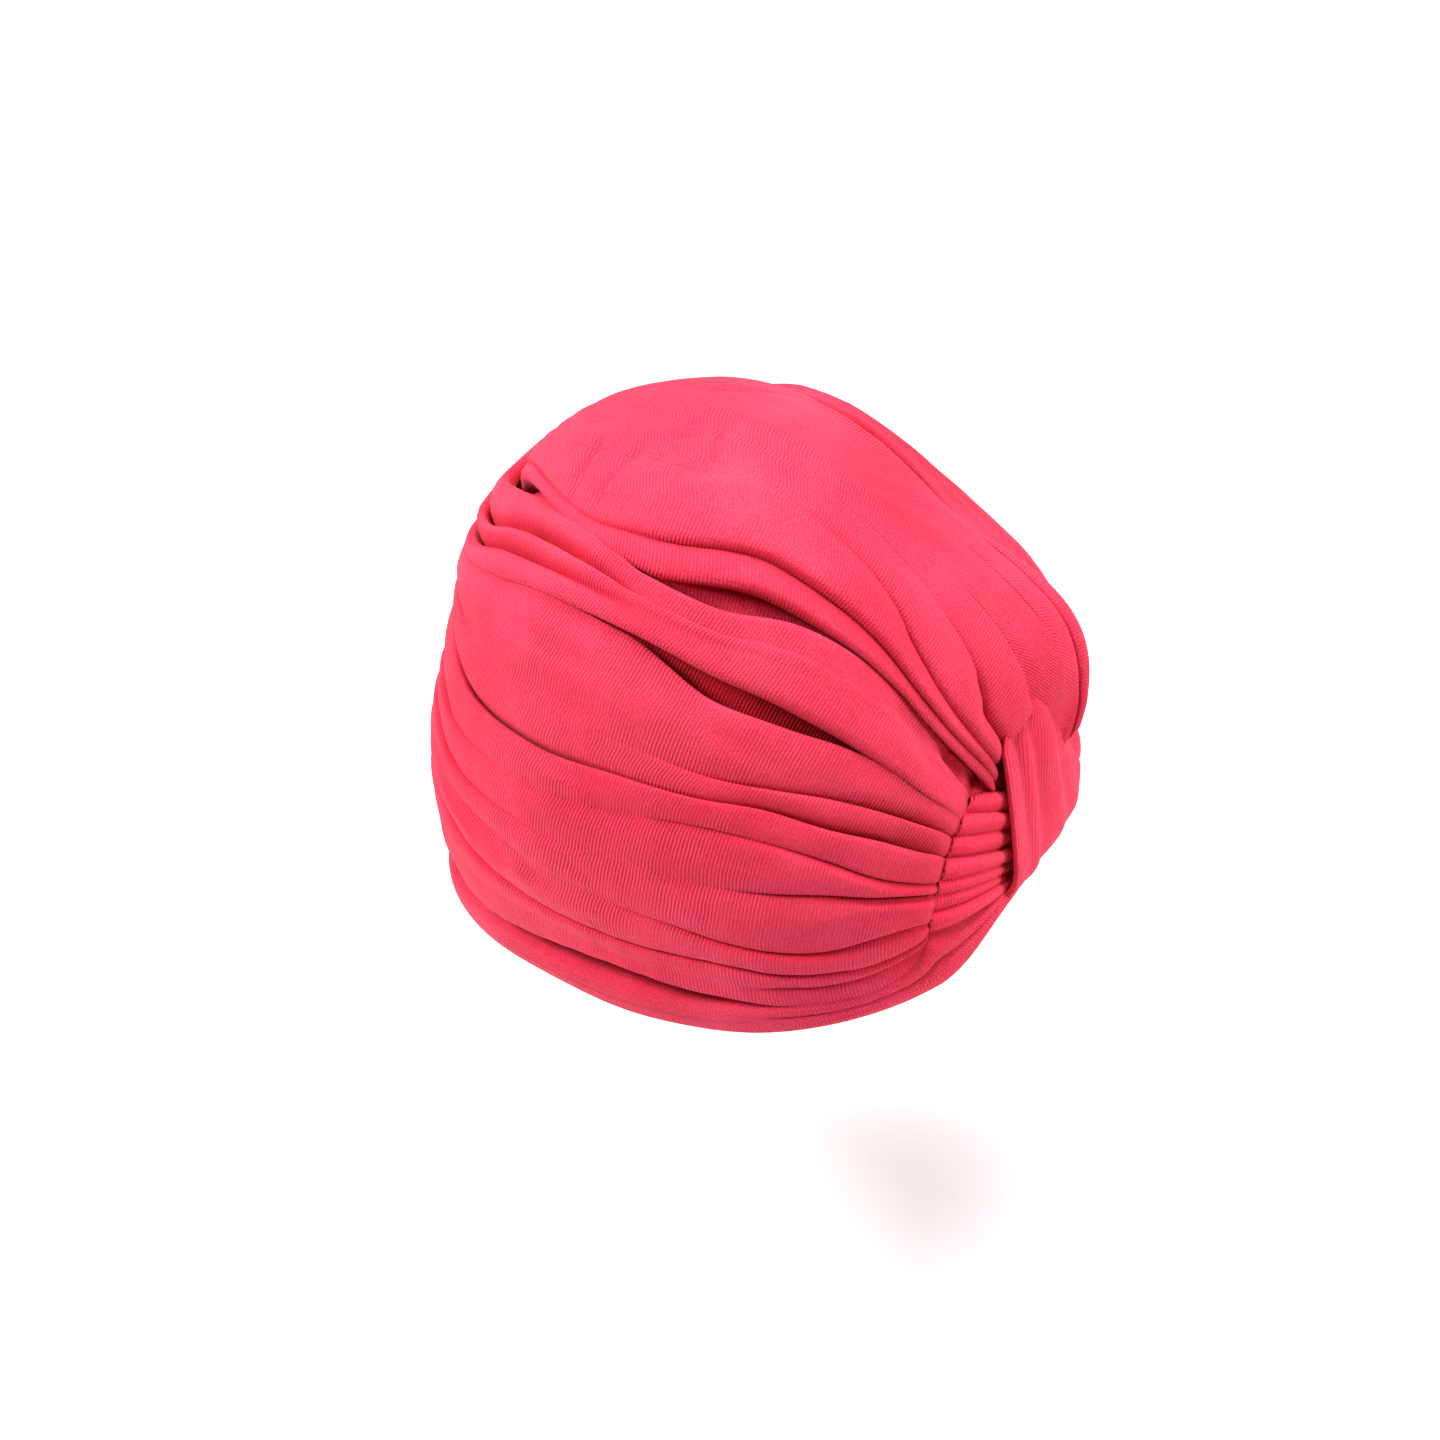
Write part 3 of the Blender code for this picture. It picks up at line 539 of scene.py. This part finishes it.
def wrinkled(directions, heights, wrinkles, mirrored=False):
    """Add soft creases and ridges, each along a curve through three points on the cloth."""
    reach = np.linalg.norm(envelope(directions, np.zeros(heights.shape)), axis=-1) / MM
    for w in wrinkles:
        marks = np.array([w.start, w.middle, w.end], float)
        places = np.linspace(0, 1, 40)
        path = curve_through((0, 0.5, 1), from_axis(marks[:, 0], marks[:, 1]), places)
        path = unit(path) * (np.array([-1, 1, 1]) if mirrored else 1)
        best = np.full(heights.shape, -1.0)
        along = np.zeros(heights.shape)
        for place, point in zip(places, path):
            near = directions @ point
            along = np.where(near > best, place, along)
            best = np.maximum(best, near)
        away = np.arccos(np.clip(best, -1, 1)) * reach
        taper = smooth_step(np.minimum(along, 1 - along) * 3.2)
        heights = heights - w.depth * taper * np.exp(-(away / w.width) ** 2)
        if w.depth > 0:
            lip = np.exp(-((away - 2.1 * w.width) / (1.2 * w.width)) ** 2)
            heights = heights + 0.3 * w.depth * taper * lip
    return heights


def drawn_in(directions):
    """Millimetres that all but the crown is drawn in on the left, under the crown's front."""
    near = directions @ from_polar(*FAR_DENT_AT)
    return FAR_DENT * np.exp(-(np.degrees(np.arccos(np.clip(near, -1, 1))) / FAR_DENT_SPREAD) ** 2)


def wrap_lies(row, left):
    lies = np.array(PLEATS[row].lie, float)
    if left and row < len(LEFT_RISES):
        lies += LEFT_RISES[row]
    return lies


def wrap_half(row, left):
    """Directions of one crease at the stations of one half, from its seam to the back."""
    lies = wrap_lies(row, left)
    behind = np.array((seam_behind(lies[0]),) + FRONT_STATIONS)
    count = len(behind)
    front = from_axis(lies[:count], behind)
    back = from_polar(np.array(BACK_STATIONS, float), lies[count:])
    half = np.concatenate([front, back])
    # The last front station nearly meets the first one round the back in the top folds
    meet = smooth_step((lies[count - 1] - 50) / 15)
    half[count - 1] = unit((1 - meet) * front[-1] + meet * unit(0.63 * front[-2] + 0.37 * back[0]))
    return half * np.array([-1, 1, 1]) if left else half


def both_halves(right, left):
    return np.concatenate([right, left[-2::-1]])


def wrap_places():
    right, left = WRAP_COLUMNS
    turns = np.linspace(0, math.pi / 2, CROWDED_COLUMNS + 1)[:-1]
    start = (0.5 - 0.5 * np.cos(turns)) * 2 * CROWDED_SHARE
    first = np.concatenate([start, np.linspace(CROWDED_SHARE, 1, right - len(start) + 1)])
    second = 2 - np.concatenate([start, np.linspace(CROWDED_SHARE, 1, left - len(start) + 1)])[::-1]
    return np.concatenate([first, second[1:]])


def side_wrap_cloth():
    half = np.array(WRAP_STEPS)
    stations = np.concatenate([half, 2 - half[-2::-1]])
    places = wrap_places()
    lines = [curve_through(stations, both_halves(wrap_half(k, False), wrap_half(k, True)), places)
             for k in range(len(PLEATS))]
    spread = {}
    for column in ("sink", "crest"):
        spread[column] = []
        for k, pleat in enumerate(PLEATS):
            values = getattr(pleat, column)
            if values is None:
                spread[column].append(None)
                continue
            right = np.array(values, float)
            left = right * RNG.uniform(0.85, 1.15, len(right)) if column == "sink" else right
            left = left - LEFT_ROLL_LOWER if column == "crest" and k < 2 else left
            spread[column].append(curve_through(stations, both_halves(right, left), places))
    tucks = [pleat.tuck for pleat in PLEATS]
    directions, heights, depths = folded(lines, spread["sink"], spread["crest"], tucks)
    heights = wrinkled(directions, heights, WRAP_WRINKLES)
    heights = wrinkled(directions, heights, WRAP_WRINKLES, mirrored=True)
    heights = sewn_down(uneven(directions, heights, WRAP_WAVES), places, WRAP_SEWN)
    return directions, heights - drawn_in(directions), depths


def crown_drape_cloth():
    places = np.linspace(0, 1, DRAPE_COLUMNS + 1)
    places = DRAPE_STATIONS[0] + (DRAPE_STATIONS[-1] - DRAPE_STATIONS[0]) * places ** 1.3
    fade = smooth_step((REACH_FADES[1] - places) / (REACH_FADES[1] - REACH_FADES[0]))
    lines = [from_axis(curve_through(DRAPE_STATIONS, pleat.lie, places), places - reach * fade)
             for pleat, reach in zip(DRAPE, DRAPE_REACH)]
    sinks = [curve_through(DRAPE_STATIONS, p.sink, places) for p in DRAPE]
    crests = [curve_through(DRAPE_STATIONS, p.crest, places) if p.crest else None for p in DRAPE]
    tucks = [p.tuck for p in DRAPE]
    directions, heights, depths = folded(lines, sinks, crests, tucks, DRAPE_ROW_SPACING)
    heights = wrinkled(directions, heights, CROWN_WRINKLES)
    return directions, uneven(directions, heights, DRAPE_WAVES), depths


def gather_cloth():
    stations = np.array([0, 0.25, 0.5, 1, 1.5, 1.75, 2])
    places = np.linspace(0, 2, GATHER_COLUMNS + 1)
    lines, sinks, crests = [], [], []
    for g in GATHERS:
        seam = from_axis(g.seam, seam_behind(g.seam) + 0.3)
        beside = from_polar(g.around, g.beside)
        half = np.array([seam, unit(seam + beside), beside, from_polar(0.0, g.under)])
        whole = np.concatenate([half, (half * np.array([-1, 1, 1]))[-2::-1]])
        lines.append(curve_through(stations, whole, places))
        sinks.append(np.full(len(places), g.sink, float))
        crests.append(None if g.crest is None else np.full(len(places), g.crest, float))
    tucks = [GATHER_TUCK] * len(GATHERS)
    directions, heights, depths = folded(lines, sinks, crests, tucks, GATHER_ROW_SPACING)
    heights = sewn_down(uneven(directions, heights, GATHER_WAVES), places, GATHER_SEWN)
    return directions, heights - drawn_in(directions), depths


def cloth_piece(name, points, uv, depth, thickness, closed=False):
    """A sheet of cloth from a grid of points, its ribs' place in metres, and its share of painted shade in
    the creases.
    """
    rows, columns = points.shape[:2]
    flat = points.reshape(-1, 3)
    faces = []
    for r in range(rows - 1):
        low, high = r * columns, (r + 1) * columns
        for c in range(columns - 1):
            faces.append((low + c, low + c + 1, high + c + 1, high + c))
    mesh = bpy.data.meshes.new(name)
    mesh.from_pydata([tuple(p) for p in flat], [], faces)
    layer = mesh.uv_layers.new(name="cloth")
    corner = np.zeros(len(mesh.loops), np.int32)
    mesh.loops.foreach_get("vertex_index", corner)
    layer.data.foreach_set("uv", uv.reshape(-1, 2)[corner].astype(np.float32).ravel())
    # Painted shade in the creases, read by the material to darken the colour
    shade = mesh.attributes.new("crease_depth", "FLOAT", "POINT")
    shade.data.foreach_set("value", depth.reshape(-1).astype(np.float32))
    piece = bpy.data.objects.new(name, mesh)
    bpy.context.scene.collection.objects.link(piece)
    bpy.context.view_layer.objects.active = piece
    if closed:
        piece.select_set(True)
        bpy.ops.object.mode_set(mode="EDIT")
        bpy.ops.mesh.select_all(action="SELECT")
        bpy.ops.mesh.remove_doubles(threshold=MERGE)
        bpy.ops.object.mode_set(mode="OBJECT")
        piece.select_set(False)
    wall = piece.modifiers.new("wall", "SOLIDIFY")
    wall.thickness = thickness
    wall.offset = -1
    wall.use_quality_normals = False
    bpy.ops.object.modifier_apply(modifier=wall.name)
    piece.data.shade_smooth()
    return piece


def lengths(points, axis):
    """Distance along a grid's axis from its start, at every point."""
    steps = np.linalg.norm(np.diff(points, axis=axis), axis=-1)
    zero = np.zeros_like(np.take(steps, [0], axis=axis))
    return np.concatenate([zero, np.cumsum(steps, axis=axis)], axis=axis)


def sheet_from(name, directions, heights, depths, thickness):
    smooth = worn(envelope(directions, np.zeros(heights.shape)))
    points = worn(envelope(directions, heights * MM))
    uv = np.stack([lengths(smooth, 1), lengths(smooth, 0)], -1)
    return cloth_piece(name, points, uv, depths, thickness)


def hem_line(around):
    """Height over the rim where the wrap's lower edge crosses, in degrees."""
    edge = unit(wrap_half(len(PLEATS) - 1, False))
    angles = np.degrees(np.arctan2(-edge[:, 0], -edge[:, 1]))
    levels = np.degrees(np.arcsin(edge[:, 2]))
    return curve_through(angles, levels, np.clip(np.abs(around), angles[0], angles[-1]))


def make_inner_cap():
    around = np.linspace(-180, 180, CAP_COLUMNS + 1)
    away = np.abs(around)
    near_loop = smooth_step((RIM_LIFT_FROM - away) / (RIM_LIFT_FROM - RIM_LIFT_FULL))
    edge = hem_line(around)
    edge = edge + (STRIP_FOOT - edge) * near_loop
    rim = NAPE_LIFT * smooth_step((away - NAPE_FROM) / (NAPE_FULL - NAPE_FROM)) + RIM_LIFT * near_loop
    ear = np.exp(-((away - EAR_GAP_AT) / EAR_GAP_SPREAD) ** 4)
    low_edge = edge - (edge - rim) * EAR_GAP * ear
    shows = smooth_step((np.abs(around) - HEM_HIDDEN) / (HEM_SHOWN - HEM_HIDDEN))
    shares, depths = np.array(HEM_RINGS).T
    steps = np.linspace(0, len(shares) - 1, HEM_ROWS + 1)
    shares = curve_through(np.arange(len(shares)), shares, steps)
    depths = curve_through(np.arange(len(depths)), depths, steps)
    rings = []
    parted = smooth_step((HEM_PARTS_AT - np.abs(around)) / (HEM_PARTS_AT - HEM_PARTED_AT))
    for share, depth in zip(shares, depths):
        parting = np.exp(-((share - HEM_PARTING) / HEM_PARTING_WIDTH) ** 2) * HEM_PARTING_DEPTH
        gap = EAR_GAP_DEPTH * ear * smooth_step((share - 0.78) / 0.2)
        sunk = CAP_DEPTH / MM + (min(depth, 9) + parting * parted + gap - CAP_DEPTH / MM) * shows
        direction = from_polar(around, rim + (low_edge - rim) * share)
        rings.append(envelope(direction, -(sunk + drawn_in(direction)) * MM))
    for level in np.linspace(0.10, 1.0, CAP_ROWS) ** 0.9:
        above = edge + (90 - edge) * min(level, 0.999)
        direction = from_polar(around, above)
        rings.append(envelope(direction, -CAP_DEPTH - drawn_in(direction) * MM))
    rings = np.array(rings)
    share, length, seed = CAP_WAVE
    rings = rings * (1 + share * waves(rings, length, seed))[..., None]
    points = worn(rings)
    points[:, -1] = points[:, 0]
    uv = np.stack([lengths(points, 1), lengths(points, 0)], -1)
    # Painted shade: the cap is darker above its hem, in under the wrap
    depth = np.zeros(points.shape[:2])
    depth[len(steps):] = CAP_PAINTED_SHADE
    return cloth_piece("inner_cap_cloth", points, uv, depth, CAP_JERSEY, closed=True)


def loop_face(a, share):
    """Directions up the face of the loop at one place across it, and how far out it lies."""
    rounding = 1 - np.abs(2 * share - 1) ** 8
    half_width = LOOP_FOOT_HALF + (LOOP_HEAD_HALF - LOOP_FOOT_HALF) * share
    middle = LOOP_HEAD_MIDDLE * share
    proud = LOOP_FOOT_PROUD + (LOOP_HEAD_PROUD - LOOP_FOOT_PROUD) * share
    face_places, face_heights = np.array(LOOP_FACE).T
    face = curve_through(face_places, face_heights, np.array([a]))[0]
    sway = 0.35 * np.sin(5.0 * a + 3.0 * share) * (1 - abs(a))
    far = LOOP_FAR_FLARE * np.clip(1 - 1.7 * share, 0, 1) - LOOP_FAR_DROP * smooth_step((share - 0.25) / 1.1)
    far = far * smooth_step((a + 0.3) / 1.1)
    outer = (proud + face + sway + far) * rounding - LOOP_EDGE_DROP * (1 - rounding)
    foot = LOOP_FOOT + (LOOP_FOOT_CORNER - LOOP_FOOT) * a ** 2
    levels = foot + (LOOP_HEAD - foot) * share
    neck = LOOP_NECK * max(-a, 0) * smooth_step((share - 0.78) / 0.22)
    x = middle + a * half_width + neck
    around = np.degrees(np.arcsin(-x / (FRONT * np.cos(np.radians(levels)))))
    way = from_polar(around, levels)
    return way, (outer - drawn_in(way)) * MM


def make_front_loop():
    """Closed band round the gathered strip, with soft folds down it and stitched edges."""
    share = np.linspace(0, 1, LOOP_ROWS + 1)
    sections = []
    for a in np.linspace(-1, 1, LOOP_COLUMNS + 1):
        way, out = loop_face(a, share)
        front_run = envelope(way, out)
        back_run = envelope(way, -LOOP_BEHIND - drawn_in(way) * MM)
        around = np.degrees(np.arctan2(-way[:, 0], -way[:, 1]))
        levels = np.degrees(np.arcsin(way[:, 2]))
        turn_top = envelope(from_polar(around[-1:], levels[-1:] + LOOP_TURN), LOOP_TURN_OUT)
        turn_foot = envelope(from_polar(around[:1], levels[:1] - LOOP_TURN), LOOP_TURN_OUT)
        sections.append(np.concatenate([front_run, turn_top, back_run[::-1], turn_foot, front_run[:1]]))
    points = worn(np.array(sections))
    uv = np.stack([lengths(points, 0), lengths(points, 1)], -1)
    depth = np.zeros(points.shape[:2])
    return cloth_piece("front_loop_cloth", points, uv, depth, LOOP_JERSEY, closed=True)


def stitch_places():
    """Middle, way along the thread and way out of the cloth, for every stitch."""
    places = []
    for side in (1, -1):
        for i in range(SEAM_STITCHES):
            lie = SEAM_TOP_LIE - 1 - (SEAM_TOP_LIE - SEAM_FOOT_LIE) * i / (SEAM_STITCHES - 1)
            lies = np.array([lie - 1, lie, lie + 1])
            line = from_axis(lies, seam_behind(lies) + 0.5) * np.array([side, 1, 1])
            places.append((line, SEAM_STITCH_SINK + (drawn_in(line[1]) if side < 0 else 0)))
    for edge in (-1, 1):
        for row in LOOP_STITCH_ROWS:
            for i in range(LOOP_STITCHES):
                shares = 0.06 + (0.84 * i + np.array([-0.2, 0, 0.2])) / LOOP_STITCHES
                way, out = loop_face(edge * (1 - row), shares)
                places.append((way, -out[1] / MM - 0.15))
    return places


def make_stitches():
    """Small thread stitches, pressed into the gather seams and along both edges of the loop."""
    bpy.ops.mesh.primitive_uv_sphere_add(segments=8, ring_count=6, radius=1)
    first = bpy.context.active_object
    first.scale = (STITCH_LONG / 2, STITCH_THICK / 2, STITCH_THICK / 2)
    bpy.ops.object.transform_apply(location=False, rotation=False, scale=True)
    first.data.shade_smooth()
    copies = []
    for line, sink in stitch_places():
        points = worn(envelope(line, np.full(3, -sink * MM)))
        along = Vector(points[2] - points[0]).normalized()
        out = Vector(points[1] - worn(np.zeros(3))).normalized()
        side = out.cross(along).normalized()
        copy = first.copy()
        copy.data = first.data.copy()
        bpy.context.scene.collection.objects.link(copy)
        turn = Matrix((along, side, along.cross(side))).transposed().to_4x4()
        copy.matrix_world = Matrix.Translation(Vector(points[1])) @ turn
        copies.append(copy)
    bpy.ops.object.select_all(action="DESELECT")
    for copy in copies:
        copy.select_set(True)
    first.select_set(True)
    first.matrix_world = copies[0].matrix_world.copy()
    bpy.context.view_layer.objects.active = first
    bpy.ops.object.join()
    bpy.ops.object.transform_apply(location=True, rotation=True, scale=True)
    first.name = "seam_stitches"
    first.select_set(False)
    return first


class Val:
    """A number socket in a material; expressions on it add Math nodes."""

    def __init__(self, tree, socket):
        self.tree = tree
        self.socket = socket

    def mixed(self, operation, other, swap=False):
        node = self.tree.nodes.new("ShaderNodeMath")
        node.operation = operation
        first, second = (other, self) if swap else (self, other)
        for slot, value in zip(node.inputs, (first, second)):
            if isinstance(value, Val):
                self.tree.links.new(value.socket, slot)
            else:
                slot.default_value = value
        return Val(self.tree, node.outputs[0])

    def __add__(self, other):
        return self.mixed("ADD", other)

    __radd__ = __add__

    def __sub__(self, other):
        return self.mixed("SUBTRACT", other)

    def __rsub__(self, other):
        return self.mixed("SUBTRACT", other, swap=True)

    def __mul__(self, other):
        return self.mixed("MULTIPLY", other)

    __rmul__ = __mul__


class Finish:
    """A material and its node tree."""

    def __init__(self, name):
        self.material = bpy.data.materials.new(name)
        self.material.use_nodes = True
        self.tree = self.material.node_tree
        self.shader = self.tree.nodes["Principled BSDF"]

    def node(self, kind, settings=None, sockets=None, out=0):
        """Add a node: its settings first, then the values or links of its sockets."""
        made = self.tree.nodes.new(kind)
        for key, value in (settings or {}).items():
            if key == "stops":
                ramp = made.color_ramp
                while len(ramp.elements) < len(value):
                    ramp.elements.new(0.5)
                for element, (place, colour) in zip(ramp.elements, value):
                    element.position = place
                    element.color = colour
            else:
                setattr(made, key, value)
        for key, value in (sockets or {}).items():
            if isinstance(value, Val):
                self.tree.links.new(value.socket, made.inputs[key])
            else:
                made.inputs[key].default_value = value
        return Val(self.tree, made.outputs[out])


# Colours of the jersey from its palest ribs, pinker as painted sheen on the fold tops, down to painted shade
# deep in its creases
COLOUR_TO_PAINTED_SHADE = (
    (0.0, (0.74, 0.050, 0.102)),
    (0.13, (0.66, 0.024, 0.060)),
    (0.70, (0.44, 0.006, 0.018)),
    (1.0, (0.22, 0.002, 0.006)),
)


def jersey(name, painted_light_tint):
    """Fine ribbed jersey: ribs across the folds, and painted shade that darkens its colour down in the
    creases.
    """
    finish = Finish(name)
    uv = finish.node("ShaderNodeUVMap", {"uv_map": "cloth"})
    split = finish.node("ShaderNodeSeparateXYZ", {}, {"Vector": uv})
    along = Val(finish.tree, split.socket.node.outputs["X"])
    across = Val(finish.tree, split.socket.node.outputs["Y"])
    place = finish.node("ShaderNodeTexCoord", out="Object")
    drift = finish.node("ShaderNodeTexNoise", {}, {"Vector": place, "Scale": 60.0, "Detail": 2.0})
    wander = (drift - 0.5) * 0.0009
    rib = ((along + wander) * (2 * math.pi / RIB_PITCH)).mixed("SINE", 0.0)
    stitch = ((across + wander) * (2 * math.pi / STITCH_PITCH)).mixed("SINE", 0.0)
    knit = rib * 0.5 + 0.5
    knit = knit * 0.8 + (stitch * 0.5 + 0.5) * 0.2
    fuzz = finish.node("ShaderNodeTexNoise", {}, {"Vector": place, "Scale": 1400.0, "Detail": 3.0})
    # Painted shade in the creases, from the sheet's attribute
    depth = finish.node("ShaderNodeAttribute", {"attribute_name": "crease_depth"}, out="Fac")
    tone = finish.node("ShaderNodeTexNoise", {}, {"Vector": place, "Scale": 22.0, "Detail": 5.0})
    patch = finish.node("ShaderNodeTexNoise", {}, {"Vector": place, "Scale": 38.0, "Detail": 3.0})
    clear = finish.node("ShaderNodeMapRange", {}, {"Value": patch, "From Min": 0.38, "From Max": 0.62,
                                                   "To Min": 0.25, "To Max": 1.0})
    # Painted crease shade, mixed with the ribs and the random tone of the cloth
    shade = depth * 1.1 + (knit - 0.5) * clear * -0.32 + (fuzz - 0.5) * 0.5 + (tone - 0.5) * 0.5
    # The tint scales this copy of the jersey's colours, which paints light and shade on a part
    stops = [(place, tuple(c * painted_light_tint for c in colour) + (1.0,)) for place, colour in COLOUR_TO_PAINTED_SHADE]
    colour = finish.node("ShaderNodeValToRGB", {"stops": stops}, {"Fac": shade * 0.7 + 0.09})
    height = knit * clear * 0.7 + fuzz * 0.7
    bump = finish.node("ShaderNodeBump", {}, {"Strength": 0.75, "Distance": 0.0006,
                                              "Height": height})
    finish.tree.links.new(colour.socket, finish.shader.inputs["Base Color"])
    finish.tree.links.new(bump.socket, finish.shader.inputs["Normal"])
    finish.shader.inputs["Roughness"].default_value = 0.82
    finish.shader.inputs["Specular IOR Level"].default_value = 0.12
    finish.shader.inputs["Sheen Weight"].default_value = 0.10
    finish.shader.inputs["Sheen Roughness"].default_value = 0.45
    finish.shader.inputs["Sheen Tint"].default_value = (1.0, 0.55, 0.68, 1.0)
    return finish.material


def thread(name):
    """Twisted sewing thread, a little deeper than the cloth."""
    finish = Finish(name)
    place = finish.node("ShaderNodeTexCoord", out="Object")
    twist = finish.node("ShaderNodeTexNoise", {}, {"Vector": place, "Scale": 2200.0, "Detail": 2.0})
    colour = finish.node("ShaderNodeValToRGB", {"stops": (
        (0.3, (0.42, 0.010, 0.026, 1.0)), (0.7, (0.62, 0.022, 0.052, 1.0)))}, {"Fac": twist})
    bump = finish.node("ShaderNodeBump", {}, {"Strength": 0.5, "Distance": 0.0002, "Height": twist})
    finish.tree.links.new(colour.socket, finish.shader.inputs["Base Color"])
    finish.tree.links.new(bump.socket, finish.shader.inputs["Normal"])
    finish.shader.inputs["Roughness"].default_value = 0.6
    return finish.material


def plain_floor():
    finish = Finish("pale_floor")
    place = finish.node("ShaderNodeTexCoord", out="Object")
    noise = finish.node("ShaderNodeTexNoise", {}, {"Vector": place, "Scale": 3.0, "Detail": 2.0})
    colour = finish.node("ShaderNodeValToRGB", {"stops": (
        (0.0, (0.86, 0.86, 0.86, 1.0)), (1.0, (0.90, 0.90, 0.90, 1.0)))}, {"Fac": noise})
    finish.tree.links.new(colour.socket, finish.shader.inputs["Base Color"])
    finish.shader.inputs["Roughness"].default_value = 0.9
    return finish.material


CAMERA_AROUND = -66.0
CAMERA_ABOVE = 42.0
CAMERA_DISTANCE = 1.3
PHOTO_SIZE = 1440
TARGET_PIXEL = (799.4, 694.2)
TARGET_OVER_RIM = 0.07
PIXELS_PER_METRE = 2940.0
SENSOR_WIDTH = 36
FLOOR_SIZE = 12
FLOOR_BELOW = 0.16
# Lamps: degrees round and above the wrap, disk size in metres and power in watts
Lamp = namedtuple("Lamp", "name around above size power")
LAMPS = (
    Lamp("left", -150, 40, 0.6, 30),
    Lamp("right", 6, 34, 0.6, 17),
    Lamp("top", 90, 76, 0.7, 29),
)
LAMP_DISTANCE = 1.5


def make_camera():
    """The photo's view: from the wearer's right, well above."""
    rim_middle = worn(np.zeros(3))
    target = Vector(rim_middle) + Vector((0, 0, TARGET_OVER_RIM))
    data = bpy.data.cameras.new("camera")
    data.sensor_width = SENSOR_WIDTH
    data.lens = SENSOR_WIDTH * PIXELS_PER_METRE * CAMERA_DISTANCE / PHOTO_SIZE
    data.shift_x = (PHOTO_SIZE / 2 - TARGET_PIXEL[0]) / PHOTO_SIZE
    data.shift_y = (TARGET_PIXEL[1] - PHOTO_SIZE / 2) / PHOTO_SIZE
    data.clip_start, data.clip_end = 0.01, 30
    camera = bpy.data.objects.new("camera", data)
    bpy.context.scene.collection.objects.link(camera)
    camera.location, camera.rotation_euler = looking_from(
        target, CAMERA_AROUND, CAMERA_ABOVE, CAMERA_DISTANCE)
    bpy.context.scene.camera = camera
    return target


def looking_from(target, around, above, distance):
    """Place and turn of a camera or a light that looks at the target."""
    a, e = math.radians(around), math.radians(above)
    back = Vector((math.sin(a) * math.cos(e), -math.cos(a) * math.cos(e), math.sin(e)))
    return target + back * distance, (-back).to_track_quat("-Z", "Y").to_euler()


def soft_light(target, lamp):
    data = bpy.data.lights.new(lamp.name, "AREA")
    data.shape = "DISK"
    data.size = lamp.size
    data.energy = lamp.power
    light = bpy.data.objects.new(lamp.name, data)
    bpy.context.scene.collection.objects.link(light)
    light.location, light.rotation_euler = looking_from(target, lamp.around, lamp.above, LAMP_DISTANCE)


def make_stage(target):
    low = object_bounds()[0]
    bpy.ops.mesh.primitive_plane_add(size=FLOOR_SIZE, location=(0, 0, low.z - FLOOR_BELOW))
    floor = bpy.context.active_object
    floor.name = "pale_floor"
    bpy.ops.object.transform_apply(location=True, rotation=True, scale=True)
    floor.data.materials.append(plain_floor())
    floor.select_set(False)
    floor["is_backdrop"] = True
    world = bpy.data.worlds.new("studio")
    bpy.context.scene.world = world
    world.use_nodes = True
    backdrop = world.node_tree.nodes["Background"]
    backdrop.inputs["Color"].default_value = (1.0, 0.99, 0.985, 1.0)
    backdrop.inputs["Strength"].default_value = 0.11
    for lamp in LAMPS:
        soft_light(target, lamp)
    bpy.context.scene.view_settings.view_transform = "Standard"


def dress(piece, material, node):
    piece.data.materials.append(material)
    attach(piece, "root")
    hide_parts(node)


def main():
    target = make_camera()
    wrap = sheet_from("side_wrap_cloth", *side_wrap_cloth(), JERSEY)
    drape = sheet_from("crown_drape_cloth", *crown_drape_cloth(), JERSEY)
    gather = sheet_from("front_gather_cloth", *gather_cloth(), JERSEY)
    cap = make_inner_cap()
    loop = make_front_loop()
    # Tints above one paint light onto the gather and the loop; the wrap's tint below one paints shade on it
    dress(cap, jersey("cap_jersey", 1.0), "inner_cap")
    dress(drape, jersey("crown_jersey", 1.0), "crown_drape")
    dress(wrap, jersey("wrap_jersey", 0.97), "side_wrap")
    dress(gather, jersey("gather_jersey", 1.15), "front_gather")
    dress(loop, jersey("loop_jersey", 1.05), "front_loop")
    stitches = make_stitches()
    stitches.data.materials.append(thread("seam_thread"))
    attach(stitches, "root")
    make_stage(target)


main()
